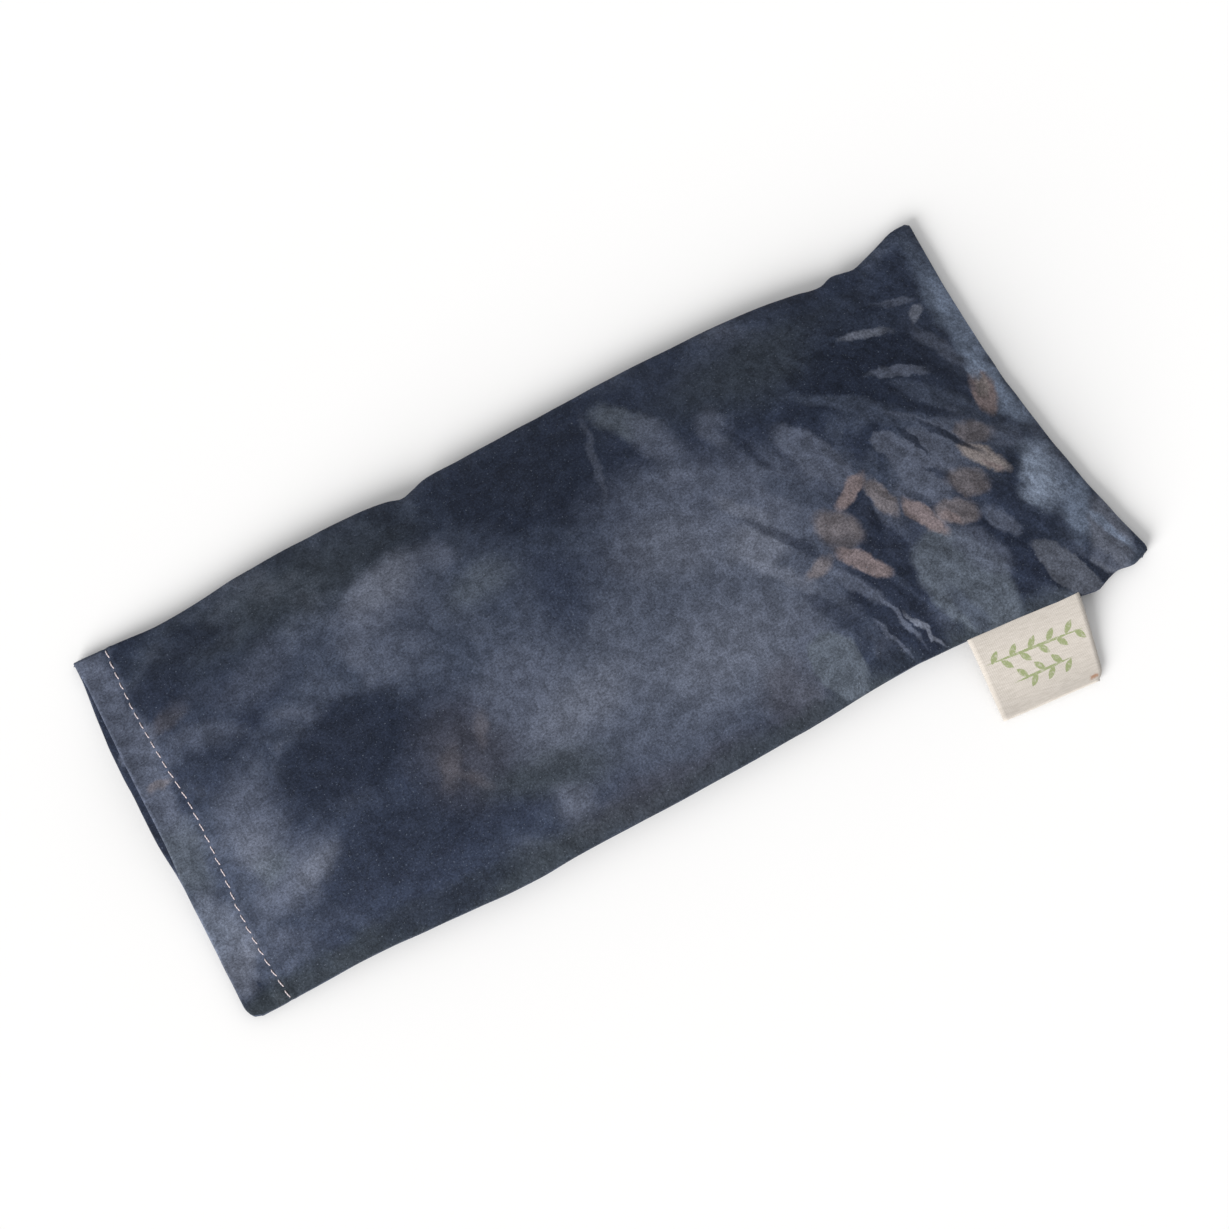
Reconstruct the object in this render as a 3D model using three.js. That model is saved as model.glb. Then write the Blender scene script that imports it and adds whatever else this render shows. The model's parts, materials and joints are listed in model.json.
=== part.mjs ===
// A seed-filled eye pillow in a removable silk cover: an open-ended cover with hemmed lips and a folded
// label in its right-hand seam, and a cotton pouch of flax seed and lavender that slides out of the mouth.
// Millimetres. X runs from the open mouth to the sewn end, +Y is the left side as seen from the mouth,
// and Z = 0 is the surface that the pillow lies on. The origin is the middle of the resting face.
import * as THREE from 'three';

// ---- driving dimensions ----
const COVER_LENGTH = 241.5; // along the centre line, from the lower lip to the sewn end
const COVER_HALF_WIDTH = 50;
const MOUTH_X = -119.5; // the lower lip's fold
const LIP_SETBACK = 1.6; // the upper lip's fold lies this far behind the lower one's
const HEM_DEPTH = 9.5;
const SILK = 0.5; // one layer of cover cloth
const SEAM_HALF_GAP = 1.25; // each cover panel's middle surface is this far from the seam's own plane
const SEAM_REST_Z = 1.5; // the seam's height at the mouth and at the sewn end
const SEAM_LIFT = 4.5; // how much higher the side seams stand beside the filled pouch
const COVER_CROWN = 13.5; // how far the upper panel rises above its seam
const LIP_GAPE = 6.5; // how far the mouth stands open at its widest

const POUCH_START_X = -90;
const POUCH_END_X = 108.5;
const POUCH_HALF_WIDTH = 41.5;
const COTTON = 0.5; // one layer of pouch cloth
const POUCH_REST_Z = 2.65; // the middle surface of the pouch's flat underside
const POUCH_CROWN = 12; // how far the pouch's upper panel rises above its seam
const POUCH_SEAM_HALF_GAP = 1.05;
const POUCH_CORNER_Z = 3.7; // the pouch's seam height at its corners
const POUCH_SEAM_LIFT = 3; // how much higher the seam is between the corners

const ALLOWANCE = 5; // width of the cover's folded-in seam allowances
const POUCH_ALLOWANCE = 3;
const ALLOWANCE_THICKNESS = 1; // two layers of cloth bound together
const CLEAR = 0.3; // the gap kept between neighbouring pieces
const THREAD_RADIUS = 0.2;

const LABEL_WIDTH = 28.5;
const LABEL_LENGTH = 21.5; // from the hinge line to the folded end
const LABEL_X = 94;
const LABEL_TURN = -4.5; // degrees about Z, which follows the seam as it runs out to the corner
const LABEL_STAND_OFF = 1.2; // from the cover's outline to the label's hinge line
const LABEL_ROOT = 0.4; // the tape starts this far out from its hinge line, so that it clears the seam as it turns
const LABEL_TAPE = 0.4; // one layer of tape
const LABEL_FOLD_RADIUS = 0.45;
const LABEL_TIP_Z = 0.7; // middle of the two layers where the folded end rests

// ---- small helpers ----
const lerp = THREE.MathUtils.lerp;
const { smoothstep, degToRad } = THREE.MathUtils;
const range = (count) => Array.from({ length: count + 1 }, (_, i) => i / count);

// A rounded hump: 1 in the middle, 0 at s = -1 and 1. A higher power keeps it level further out.
const HUMP_EDGE = 0.7; // below 1, the hump leaves its edges steeply
const hump = (s, power) => Math.pow(Math.max(0, 1 - Math.pow(Math.abs(s), power)), HUMP_EDGE);
const lengthHump = (s) => hump(s, 4);
const widthHump = (t) => hump(t, 2.4);

// A smooth bump: 1 at the centre, nearly 0 at twice the spread.
const bump = (s, centre, spread) => Math.exp(-Math.pow((s - centre) / spread, 2));

// 1 over the flat middle of an underside, falling to 0 at s = -1 and 1.
const FLAT_SHARE = 0.55;
const flatThenUp = (s) => 1 - Math.pow(Math.max(0, (Math.abs(s) - FLAT_SHARE) / (1 - FLAT_SHARE)), 2.5);

// Positions from -1 to 1, closer together towards both ends, where a padded section curves most.
const acrossStations = (count) => range(count).map((q) => -Math.cos(Math.PI * q));

const rowsOf = (us, vs, point) => us.map((u) => vs.map((v) => point(u, v)));

// A box whose top and bottom are grids of (rows x columns) points, moved by place(i, j, side), side being -1 or 1.
function wrapBox(rows, columns, place) {
  const geometry = new THREE.BoxGeometry(1, 1, 1, rows - 1, columns - 1, 1);
  const position = geometry.attributes.position;
  for (let n = 0; n < position.count; n++) {
    const i = Math.round((position.getX(n) + 0.5) * (rows - 1));
    const j = Math.round((position.getY(n) + 0.5) * (columns - 1));
    const moved = place(i, j, Math.sign(position.getZ(n)));
    position.setXYZ(n, moved.x, moved.y, moved.z);
  }
  geometry.computeVertexNormals();
  return geometry;
}

// Cloth: a grid of points on the middle surface, thickened equally to both sides.
function cloth(rows, thickness) {
  const last = (list) => list.length - 1;
  const normalAt = (i, j) => {
    const along = rows[Math.min(i + 1, last(rows))][j].clone().sub(rows[Math.max(i - 1, 0)][j]);
    const line = rows[i];
    const across = line[Math.min(j + 1, last(line))].clone().sub(line[Math.max(j - 1, 0)]);
    return along.cross(across).normalize();
  };
  return wrapBox(rows.length, rows[0].length, (i, j, side) =>
    rows[i][j].clone().addScaledVector(normalAt(i, j), (side * thickness) / 2));
}

// Filling: everything between two grids of points.
const filling = (lower, upper) =>
  wrapBox(lower.length, lower[0].length, (i, j, side) => (side < 0 ? lower : upper)[i][j]);

// Sewing thread: a thin round cord along a smooth line through the points.
function thread(points, steps) {
  const section = new THREE.Shape().absarc(0, 0, THREAD_RADIUS, 0, 2 * Math.PI);
  const path = new THREE.CatmullRomCurve3(points);
  return new THREE.ExtrudeGeometry(section, { steps, curveSegments: 3, extrudePath: path, bevelEnabled: false });
}

// ---- the cover's shape ----
// The cover is described by (u, t): u is 0 at the mouth and 1 at the sewn end, t is -1 at the right seam and 1
// at the left one. The sewn end runs askew and is drawn in between its two corners.
const END_X = MOUTH_X + COVER_LENGTH;
const END_SKEW = 7; // the right-hand corner reaches this far past the middle, the left-hand one falls short by it
const END_DIP = 3.8;
const DOME_START_X = -112; // where the upper panel starts to rise over the pouch
const DOME_MIDDLE_X = (POUCH_START_X + POUCH_END_X) / 2;

const endX = (t) => END_X - END_SKEW * t - END_DIP * (1 - t * t);

// The sides are drawn in a little past each end of the pouch, where the cover is no longer filled.
const MOUTH_WAISTS = [{ at: 0, depth: 0.8, spread: 0.04 }, { at: 0.09, depth: 1.9, spread: 0.08 }];
const LEFT_WAISTS = [...MOUTH_WAISTS, { at: 0.86, depth: 2.7, spread: 0.1 }];
const RIGHT_WAISTS = [...MOUTH_WAISTS, { at: 0.77, depth: 2.9, spread: 0.13 }];

const halfWidth = (u, waists) =>
  waists.reduce((width, { at, depth, spread }) => width - depth * bump(u, at, spread), COVER_HALF_WIDTH);

const plan = (u, t, mouthX = MOUTH_X) => ({
  x: lerp(mouthX, endX(t), u),
  y: lerp(-halfWidth(u, RIGHT_WAISTS), halfWidth(u, LEFT_WAISTS), (t + 1) / 2),
});

function fullness(x, t) {
  const reach = x < DOME_MIDDLE_X ? DOME_MIDDLE_X - DOME_START_X : endX(t) - DOME_MIDDLE_X;
  return lengthHump((x - DOME_MIDDLE_X) / reach);
}

const seamZ = (x, t) => SEAM_REST_Z + SEAM_LIFT * fullness(x, t);

// The mouth gapes a little all the way across, and most of all left of the middle.
const GAPE_T = 0.28;
const GAPE_SPREAD = 0.42;
const GAPE_REACH = 45; // how far behind the lip the upper panel is still lifted

const gape = (t) => LIP_GAPE * (0.3 * (1 - t * t) + 0.73 * bump(t, GAPE_T, GAPE_SPREAD) * (1 - t ** 6));

function upperZ(x, t) {
  const lip = gape(t) * (1 - smoothstep(x, MOUTH_X, MOUTH_X + GAPE_REACH));
  return seamZ(x, t) + SEAM_HALF_GAP + lip + COVER_CROWN * fullness(x, t) * widthHump(t);
}

const lowerZ = (x, t) => {
  const edge = seamZ(x, t);
  return edge - SEAM_HALF_GAP - (edge - SEAM_REST_Z) * flatThenUp(t);
};

// ---- cover panels ----
// Each panel is one piece of cloth. It starts at the hem's raw edge inside the cover, runs out to the lip, turns
// round the fold and runs back to the sewn end. A station is a distance from the fold's centre and a layer.
const FOLD_RADIUS = 0.42; // middle surface, so the two layers of the hem lie 0.34 apart
const HEM_STEPS = 2;
const BODY_STEPS = 20;
const WIDTH_STEPS = 14;

function panelStations(length) {
  const hem = range(HEM_STEPS).map((q) => HEM_DEPTH * q);
  const returnRun = hem.slice(1).reverse().map((along) => ({ along, turn: -90 }));
  const fold = [-90, -45, 0, 45].map((turn) => ({ along: 0, turn }));
  const body = range(BODY_STEPS).slice(1).map((q) => lerp(HEM_DEPTH, length, 1 - Math.pow(1 - q, 1.4)));
  return [...returnRun, ...fold, ...[...hem, ...body].map((along) => ({ along, turn: 90 }))];
}

// inward is -1 where the hem lies under the panel, as on the upper one, and 1 where it lies on top.
function coverPanel(foldX, height, inward) {
  const centreX = foldX + FOLD_RADIUS;
  const length = END_X - centreX;
  return cloth(rowsOf(panelStations(length), acrossStations(WIDTH_STEPS), ({ along, turn }, t) => {
    const { x, y } = plan(along / length, t, centreX);
    const angle = degToRad(turn);
    const drop = inward * FOLD_RADIUS * (1 - Math.sin(angle));
    return new THREE.Vector3(x - FOLD_RADIUS * Math.cos(angle), y, height(x, t) + drop);
  }), SILK);
}

const coverUpperPanel = () => coverPanel(MOUTH_X + LIP_SETBACK, upperZ, -1);
const coverLowerPanel = () => coverPanel(MOUTH_X, lowerZ, 1);

// ---- the cover's seam allowances and stitching ----
const SEAM_START = 0.055; // the side allowances begin just past the hem
const ALLOWANCE_MOST_SHARE = 0.97;

// side is 1 for the left seam and -1 for the right one.
function coverSideAllowance(side) {
  const us = range(14).map((q) => lerp(SEAM_START, ALLOWANCE_MOST_SHARE, q));
  const rows = us.map((u) => {
    const edge = plan(u, side);
    const z = seamZ(edge.x, side);
    const inner = edge.y - side * ALLOWANCE;
    return [Math.min(edge.y, inner), Math.max(edge.y, inner)].map((y) => new THREE.Vector3(edge.x, y, z));
  });
  return cloth(rows, ALLOWANCE_THICKNESS);
}

// The end allowance rests on the lower panel, which starts to rise where it nears the two corners.
function coverEndAllowance() {
  const inset = 1 - (ALLOWANCE + CLEAR + 1) / COVER_HALF_WIDTH;
  const ts = range(10).map((q) => lerp(-inset, inset, q));
  return cloth(rowsOf([-ALLOWANCE, 0], ts, (back, t) => {
    const x = endX(t) + back;
    return new THREE.Vector3(x, plan(1, t).y, lowerZ(x, t) + SEAM_HALF_GAP);
  }), ALLOWANCE_THICKNESS);
}

// The line of thread lies on top of the allowance, near the cover's edge.
const STITCH_FROM_EDGE = 2.6;
const stitchZ = (seam) => seam + ALLOWANCE_THICKNESS / 2 + CLEAR + THREAD_RADIUS;

function coverSideStitching(side) {
  const points = range(16).map((q) => {
    const edge = plan(lerp(SEAM_START, 0.95, q), side);
    return new THREE.Vector3(edge.x, edge.y - side * STITCH_FROM_EDGE, stitchZ(seamZ(edge.x, side)));
  });
  return thread(points, 24);
}

function coverEndStitching() {
  const points = range(8).map((q) => {
    const t = lerp(-0.85, 0.85, q);
    return new THREE.Vector3(endX(t) - STITCH_FROM_EDGE, plan(1, t).y, stitchZ(SEAM_REST_Z));
  });
  return thread(points, 16);
}

// A row of hem stitches, laid just clear of the cloth it holds: outside the upper lip, inside the lower one.
const HEM_STITCH_BACK = 8.4; // from the lip's fold
const HEM_STITCH_T = 0.96;

function hemStitching(foldX, surfaceZ) {
  const points = range(16).map((q) => {
    const t = lerp(-HEM_STITCH_T, HEM_STITCH_T, q);
    const { x, y } = plan(HEM_STITCH_BACK / COVER_LENGTH, t, foldX);
    return new THREE.Vector3(x, y, surfaceZ(x, t) + SILK / 2 + CLEAR + THREAD_RADIUS);
  });
  return thread(points, 30);
}

const upperHemStitching = () => hemStitching(MOUTH_X + LIP_SETBACK, upperZ);
const lowerHemStitching = () => hemStitching(MOUTH_X, (x, t) => lowerZ(x, t) + 2 * FOLD_RADIUS);

// ---- the label ----
// A tape folded in half, its two ends caught in the right-hand seam. Modelled about its own hinge line, with the
// folded end towards -Y. It hangs from the seam's height to the surface the pillow lies on.
const labelShare = (LABEL_X - MOUTH_X) / (endX(-1) - MOUTH_X);
const labelRoot = new THREE.Vector3(
  LABEL_X,
  plan(labelShare, -1).y - LABEL_STAND_OFF,
  seamZ(LABEL_X, -1),
);

function labelTape() {
  const middleZ = (out) => (LABEL_TIP_Z - labelRoot.z) * smoothstep(out, -4, LABEL_LENGTH - 2);
  const straight = LABEL_LENGTH - LABEL_FOLD_RADIUS;
  const outward = range(5).map((q) => ({ out: lerp(LABEL_ROOT, straight, q), turn: 90 }));
  const fold = [45, 0, -45].map((turn) => ({ out: straight, turn }));
  const back = outward.map(({ out }) => ({ out, turn: -90 })).reverse();
  const rows = [...outward, ...fold, ...back].map(({ out, turn }) => range(4).map((q) => {
    const angle = degToRad(turn);
    return new THREE.Vector3(
      LABEL_WIDTH * (q - 0.5),
      -out - LABEL_FOLD_RADIUS * Math.cos(angle),
      middleZ(out) + LABEL_FOLD_RADIUS * Math.sin(angle),
    );
  }));
  return cloth(rows, LABEL_TAPE);
}

// ---- the pouch ----
// The pouch is described by (s, t), each from -1 to 1: s along X, t along Y.
const POUCH_HALF_LENGTH = (POUCH_END_X - POUCH_START_X) / 2;
const POUCH_PINCH = 0.035; // how far the middle of each side is drawn in, as a share of the half width

const pouchPlan = (s, t) => ({
  x: DOME_MIDDLE_X + POUCH_HALF_LENGTH * s,
  y: t * POUCH_HALF_WIDTH * (1 - POUCH_PINCH * (1 - Math.abs(s) ** 8)),
});

const pouchSeamZ = (s, t) => POUCH_CORNER_Z + POUCH_SEAM_LIFT * (1 - Math.pow(s * t, 4));

const pouchUpperZ = (s, t) =>
  pouchSeamZ(s, t) + POUCH_SEAM_HALF_GAP + POUCH_CROWN * lengthHump(s) * widthHump(t);

function pouchLowerZ(s, t) {
  const edge = pouchSeamZ(s, t) - POUCH_SEAM_HALF_GAP;
  return edge - (edge - POUCH_REST_Z) * flatThenUp(s) * flatThenUp(t);
}

const pouchSurface = (height, share = 1, lift = 0, steps = [16, 12]) =>
  rowsOf(acrossStations(steps[0]), acrossStations(steps[1]), (s, t) => {
    const { x, y } = pouchPlan(s * share, t * share);
    return new THREE.Vector3(x, y, height(s * share, t * share) + lift);
  });

const pouchUpperPanel = () => cloth(pouchSurface(pouchUpperZ), COTTON);
const pouchLowerPanel = () => cloth(pouchSurface(pouchLowerZ), COTTON);

// The pouch's allowances lie flat between its two panels, all round.
const POUCH_ALLOWANCE_SHARE = 0.9;
const POUCH_ALLOWANCE_THICKNESS = 0.8;

function pouchSideAllowance(side) {
  const ss = range(12).map((q) => lerp(-POUCH_ALLOWANCE_SHARE, POUCH_ALLOWANCE_SHARE, q));
  const rows = ss.map((s) => {
    const edge = pouchPlan(s, side);
    const inner = edge.y - side * POUCH_ALLOWANCE;
    return [Math.min(edge.y, inner), Math.max(edge.y, inner)].map((y) =>
      new THREE.Vector3(edge.x, y, pouchSeamZ(s, side)));
  });
  return cloth(rows, POUCH_ALLOWANCE_THICKNESS);
}

// end is -1 for the closing end, nearest the mouth, and 1 for the far end.
function pouchEndAllowance(end) {
  const ts = range(8).map((q) => lerp(-POUCH_ALLOWANCE_SHARE, POUCH_ALLOWANCE_SHARE, q));
  const edgeX = pouchPlan(end, 0).x;
  const xs = [edgeX, edgeX - end * POUCH_ALLOWANCE].sort((a, b) => a - b);
  const rows = xs.map((x) => ts.map((t) =>
    new THREE.Vector3(x, t * POUCH_HALF_WIDTH, pouchSeamZ(end, t))));
  return cloth(rows, POUCH_ALLOWANCE_THICKNESS);
}

// The opening the pouch was filled through is topstitched shut close to its edge.
const CLOSING_STITCH_S = -0.975;

function pouchClosingStitching() {
  const points = range(10).map((q) => {
    const t = lerp(-0.9, 0.9, q);
    const { x, y } = pouchPlan(CLOSING_STITCH_S, t);
    const above = COTTON / 2 + CLEAR + THREAD_RADIUS;
    // The cloth climbs away from the end here, so the thread stands off along the slope's normal.
    return new THREE.Vector3(x - above, y, pouchUpperZ(CLOSING_STITCH_S, t) + above);
  });
  return thread(points, 20);
}

// ---- the filling ----
// Flax seed fills the pouch, and a thinner layer of lavender buds lies over it.
const FILL_SHARE = 0.9;
const LAVENDER_SHARE = 0.6;
const LAVENDER_DEPTH = 2;
const insideCotton = COTTON / 2 + CLEAR + 0.1;

const fillTopZ = (s, t) => pouchUpperZ(s, t) - insideCotton - LAVENDER_DEPTH - CLEAR;

const flaxSeedFill = () => filling(
  pouchSurface(pouchLowerZ, FILL_SHARE, insideCotton, [12, 8]),
  pouchSurface(fillTopZ, FILL_SHARE, 0, [12, 8]),
);

const lavenderBudFill = () => filling(
  pouchSurface(fillTopZ, LAVENDER_SHARE, CLEAR, [8, 6]),
  pouchSurface(pouchUpperZ, LAVENDER_SHARE, -insideCotton, [8, 6]),
);

// ---- materials ----
const material = (color, roughness) => new THREE.MeshStandardMaterial({ color, roughness, metalness: 0 });
const silk = material(0x4b5364, 0.55);
const paleThread = material(0xd8c9c4, 0.6);
const darkThread = material(0x3a4150, 0.7);
const labelCotton = material(0xd2cdc4, 0.9);
const muslin = material(0xe3dac6, 0.95);
const flax = material(0x6f4a2a, 0.45);
const lavender = material(0x6d6488, 0.9);

// ---- assembly ----
const piece = (name, geometry, look) => {
  const mesh = new THREE.Mesh(geometry, look);
  mesh.name = name;
  return mesh;
};

const cover = new THREE.Group();
cover.add(
  piece('cover_upper_panel', coverUpperPanel(), silk),
  piece('cover_lower_panel', coverLowerPanel(), silk),
  piece('cover_left_seam_allowance', coverSideAllowance(1), silk),
  piece('cover_right_seam_allowance', coverSideAllowance(-1), silk),
  piece('cover_end_seam_allowance', coverEndAllowance(), silk),
  piece('cover_left_seam_stitching', coverSideStitching(1), darkThread),
  piece('cover_right_seam_stitching', coverSideStitching(-1), darkThread),
  piece('cover_end_seam_stitching', coverEndStitching(), darkThread),
  piece('upper_hem_stitching', upperHemStitching(), paleThread),
  piece('lower_hem_stitching', lowerHemStitching(), paleThread),
);

const label = new THREE.Group();
label.position.copy(labelRoot);
label.rotation.z = degToRad(LABEL_TURN);
label.add(piece('side_label', labelTape(), labelCotton));

const insert = new THREE.Group();
insert.add(
  piece('pouch_upper_panel', pouchUpperPanel(), muslin),
  piece('pouch_lower_panel', pouchLowerPanel(), muslin),
  piece('pouch_left_seam_allowance', pouchSideAllowance(1), muslin),
  piece('pouch_right_seam_allowance', pouchSideAllowance(-1), muslin),
  piece('pouch_end_seam_allowance', pouchEndAllowance(1), muslin),
  piece('pouch_closing_edge', pouchEndAllowance(-1), muslin),
  piece('pouch_closing_stitching', pouchClosingStitching(), paleThread),
  piece('flax_seed_fill', flaxSeedFill(), flax),
  piece('lavender_bud_fill', lavenderBudFill(), lavender),
);

const eyePillow = new THREE.Group();
eyePillow.add(cover, label, insert);

export default eyePillow;
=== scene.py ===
"""The eye pillow's looks: a dyed silk cover with an open hemmed mouth, a folded side label, and the
seed-filled cotton pouch inside it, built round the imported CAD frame.

Metres throughout, in the frame's own axes: +X from the open mouth to the sewn end, +Y to the left side, and
Z = 0 is the table. A sheet of cloth is described by (u, t): u is 0 at the mouth's end and 1 at the far end,
t is -1 at the right-hand seam and 1 at the left-hand one.
"""

import json
import math

import bpy
import numpy as np
from mathutils import Matrix, Vector


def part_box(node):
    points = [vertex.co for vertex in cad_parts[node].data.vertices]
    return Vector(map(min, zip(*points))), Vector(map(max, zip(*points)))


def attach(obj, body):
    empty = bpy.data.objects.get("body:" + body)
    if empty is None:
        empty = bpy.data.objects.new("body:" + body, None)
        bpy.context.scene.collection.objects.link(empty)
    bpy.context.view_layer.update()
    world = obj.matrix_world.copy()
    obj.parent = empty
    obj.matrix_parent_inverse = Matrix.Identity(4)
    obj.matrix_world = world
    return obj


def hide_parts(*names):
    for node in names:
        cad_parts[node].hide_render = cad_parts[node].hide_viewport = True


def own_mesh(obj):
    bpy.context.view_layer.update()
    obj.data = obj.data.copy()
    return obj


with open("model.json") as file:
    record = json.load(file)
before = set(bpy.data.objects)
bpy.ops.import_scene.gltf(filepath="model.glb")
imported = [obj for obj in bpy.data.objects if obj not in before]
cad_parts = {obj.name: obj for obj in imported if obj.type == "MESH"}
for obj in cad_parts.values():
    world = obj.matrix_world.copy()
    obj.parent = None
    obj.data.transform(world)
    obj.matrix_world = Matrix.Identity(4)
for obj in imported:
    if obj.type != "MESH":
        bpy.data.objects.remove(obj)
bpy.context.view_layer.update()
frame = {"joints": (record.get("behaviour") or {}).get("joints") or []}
MM = 0.001


def add_object(name, data):
    item = bpy.data.objects.new(name, data)
    bpy.context.scene.collection.objects.link(item)
    return item


def add_plane(name, reach):
    """A level square at Z = 0 that reaches this far each way from the middle."""
    mesh = bpy.data.meshes.new(name)
    corners = [(-reach, -reach, 0), (reach, -reach, 0), (reach, reach, 0), (-reach, reach, 0)]
    mesh.from_pydata(corners, [], [(0, 1, 2, 3)])
    return add_object(name, mesh)


# ---- camera ----
AZIMUTH = -27.65
ELEVATION = 78.0
LENS = 100.0
SENSOR = 36.0
VIEW_WIDTH = 0.3003  # what the frame spans at the pillow
AIM = (0.0046, 0.0002, 0.006)  # to the right of the object's middle and up, along the picture, then height


def add_camera():
    azimuth, elevation = math.radians(AZIMUTH), math.radians(ELEVATION)
    right = Vector((math.cos(azimuth), math.sin(azimuth), 0))
    back = Vector((math.sin(azimuth) * math.cos(elevation), -math.cos(azimuth) * math.cos(elevation),
                   math.sin(elevation)))
    up = back.cross(right)
    data = bpy.data.cameras.new("camera")
    data.lens = LENS
    data.sensor_width = SENSOR
    camera = add_object("camera", data)
    aim = right * AIM[0] + up * AIM[1] + Vector((0, 0, AIM[2]))
    camera.matrix_world = Matrix.Translation(aim + back * VIEW_WIDTH * LENS / SENSOR) @ Matrix(
        (right, up, back)).transposed().to_4x4()
    bpy.context.scene.camera = camera


add_camera()

# ---- measures ----
COVER_LOW, COVER_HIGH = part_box("cover_lower_panel")
COVER_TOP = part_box("cover_upper_panel")[1].z
POUCH_LOW, POUCH_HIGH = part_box("pouch_upper_panel")

SILK_THICKNESS = 0.35 * MM
MUSLIN_THICKNESS = 0.4 * MM
HEM_DEPTH = 11 * MM
FOLD_RADIUS = 0.5 * MM
STITCH_PITCH = 3.05 * MM

# The outline seen from above: half width at places along X, in mm. The left side has a pucker a third of the
# way along and a longer one beside the pouch's far end, and both sides flare out into the sewn corners.
LEFT_EDGE = [(-120, 48.6), (-108, 48.1), (-97, 47.1), (-72, 48.8), (-50, 49.4), (-37, 49.0), (-31, 48.2),
             (-27.5, 47.4), (-24, 48.7), (-12, 49.6), (5, 50.1), (46, 50.8), (73, 49.8), (83, 48.5),
             (88, 47.6), (93, 48.9), (97, 47.9), (102, 49.1), (107, 50.9), (111, 52.3), (116, 52.9)]
RIGHT_EDGE = [(-120, 48.2), (-108, 48.3), (-85, 48.1), (-66, 49.1), (-43, 50.1), (-29, 49.5), (0, 49.2),
              (35, 48.0), (61, 46.5), (80, 47.0), (100, 48.6), (109, 49.9),
              (113, 50.3), (118, 48.4), (125, 48.7), (130, 47.6)]
END_SKEW = 6.25 * MM  # how far the right-hand corner reaches past END_X, and the left-hand one falls short
END_DIP = 4.05 * MM
SEAM_REST_Z = 1.5 * MM
SEAM_LIFT = 3.7 * MM
WIDTH_SCALE = 1.012
END_X = COVER_HIGH.x - 6.15 * MM


# ---- numbers and curves ----
def smoothstep(x, low, high):
    q = np.clip((x - low) / (high - low), 0, 1)
    return q * q * (3 - 2 * q)


def bump(x, centre, spread):
    """A smooth hill: 1 at the centre, nearly 0 at twice the spread."""
    return np.exp(-((x - centre) / spread) ** 2)


def curve_through(points, x):
    """A smooth curve through (x, y) points, evaluated at x."""
    px, py = np.array(points, float).T
    slopes = np.gradient(py, px)
    i = np.clip(np.searchsorted(px, x) - 1, 0, len(px) - 2)
    width = px[i + 1] - px[i]
    q = np.clip((x - px[i]) / width, 0, 1)
    start = py[i] * (1 + 2 * q) * (1 - q) ** 2 + slopes[i] * width * q * (1 - q) ** 2
    end = py[i + 1] * q * q * (3 - 2 * q) + slopes[i + 1] * width * q * q * (q - 1)
    return start + end


def cubic_weights(count, at):
    """The matrix that turns `count` even samples into a smooth curve's values at positions from 0 to 1."""
    place = np.clip(np.asarray(at, float), 0, 1) * (count - 1)
    cell = np.clip(np.floor(place).astype(int), 0, count - 2)
    q = place - cell
    parts = [(-q + 2 * q ** 2 - q ** 3) / 2, (2 - 5 * q ** 2 + 3 * q ** 3) / 2,
             (q + 4 * q ** 2 - 3 * q ** 3) / 2, (-q ** 2 + q ** 3) / 2]
    weights = np.zeros((len(place), count))
    rows = np.arange(len(place))
    for step, part in zip((-1, 0, 1, 2), parts):
        np.add.at(weights, (rows, np.clip(cell + step, 0, count - 1)), part)
    return weights


def soft_noise(us, ts, cells, seed):
    """Smooth noise, about -1 to 1, over a grid of (u, t) places, with `cells` random points each way."""
    rng = np.random.default_rng(seed)
    points = rng.uniform(-1, 1, (cells[0] + 1, cells[1] + 1))
    return cubic_weights(cells[0] + 1, us) @ points @ cubic_weights(cells[1] + 1, (np.asarray(ts) + 1) / 2).T


def hump(s, power):
    """A rounded hump with steep edges: 1 in the middle, 0 at s = -1 and 1."""
    return np.maximum(0, 1 - np.abs(s) ** power) ** 0.7


def normalised(vectors):
    return vectors / np.maximum(np.linalg.norm(vectors, axis=-1, keepdims=True), 1e-12)


def lengths_along(points):
    """How far along a line of points each of them lies."""
    return np.concatenate([[0], np.cumsum(np.linalg.norm(np.diff(points, axis=0), axis=1))])


def resampled(vectors, places, at):
    """Vectors that are known at rising places along a line, worked out at other places on it."""
    return np.stack([np.interp(at, places, column) for column in vectors.T], -1)


def grid_faces(index, side):
    """The faces between a grid's points, given by number. They face up if `side` is 1, down if it is -1."""
    corners = [index[:-1, :-1], index[1:, :-1], index[1:, 1:], index[:-1, 1:]][::side]
    return np.stack(corners, -1).reshape(-1, 4).tolist()


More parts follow.
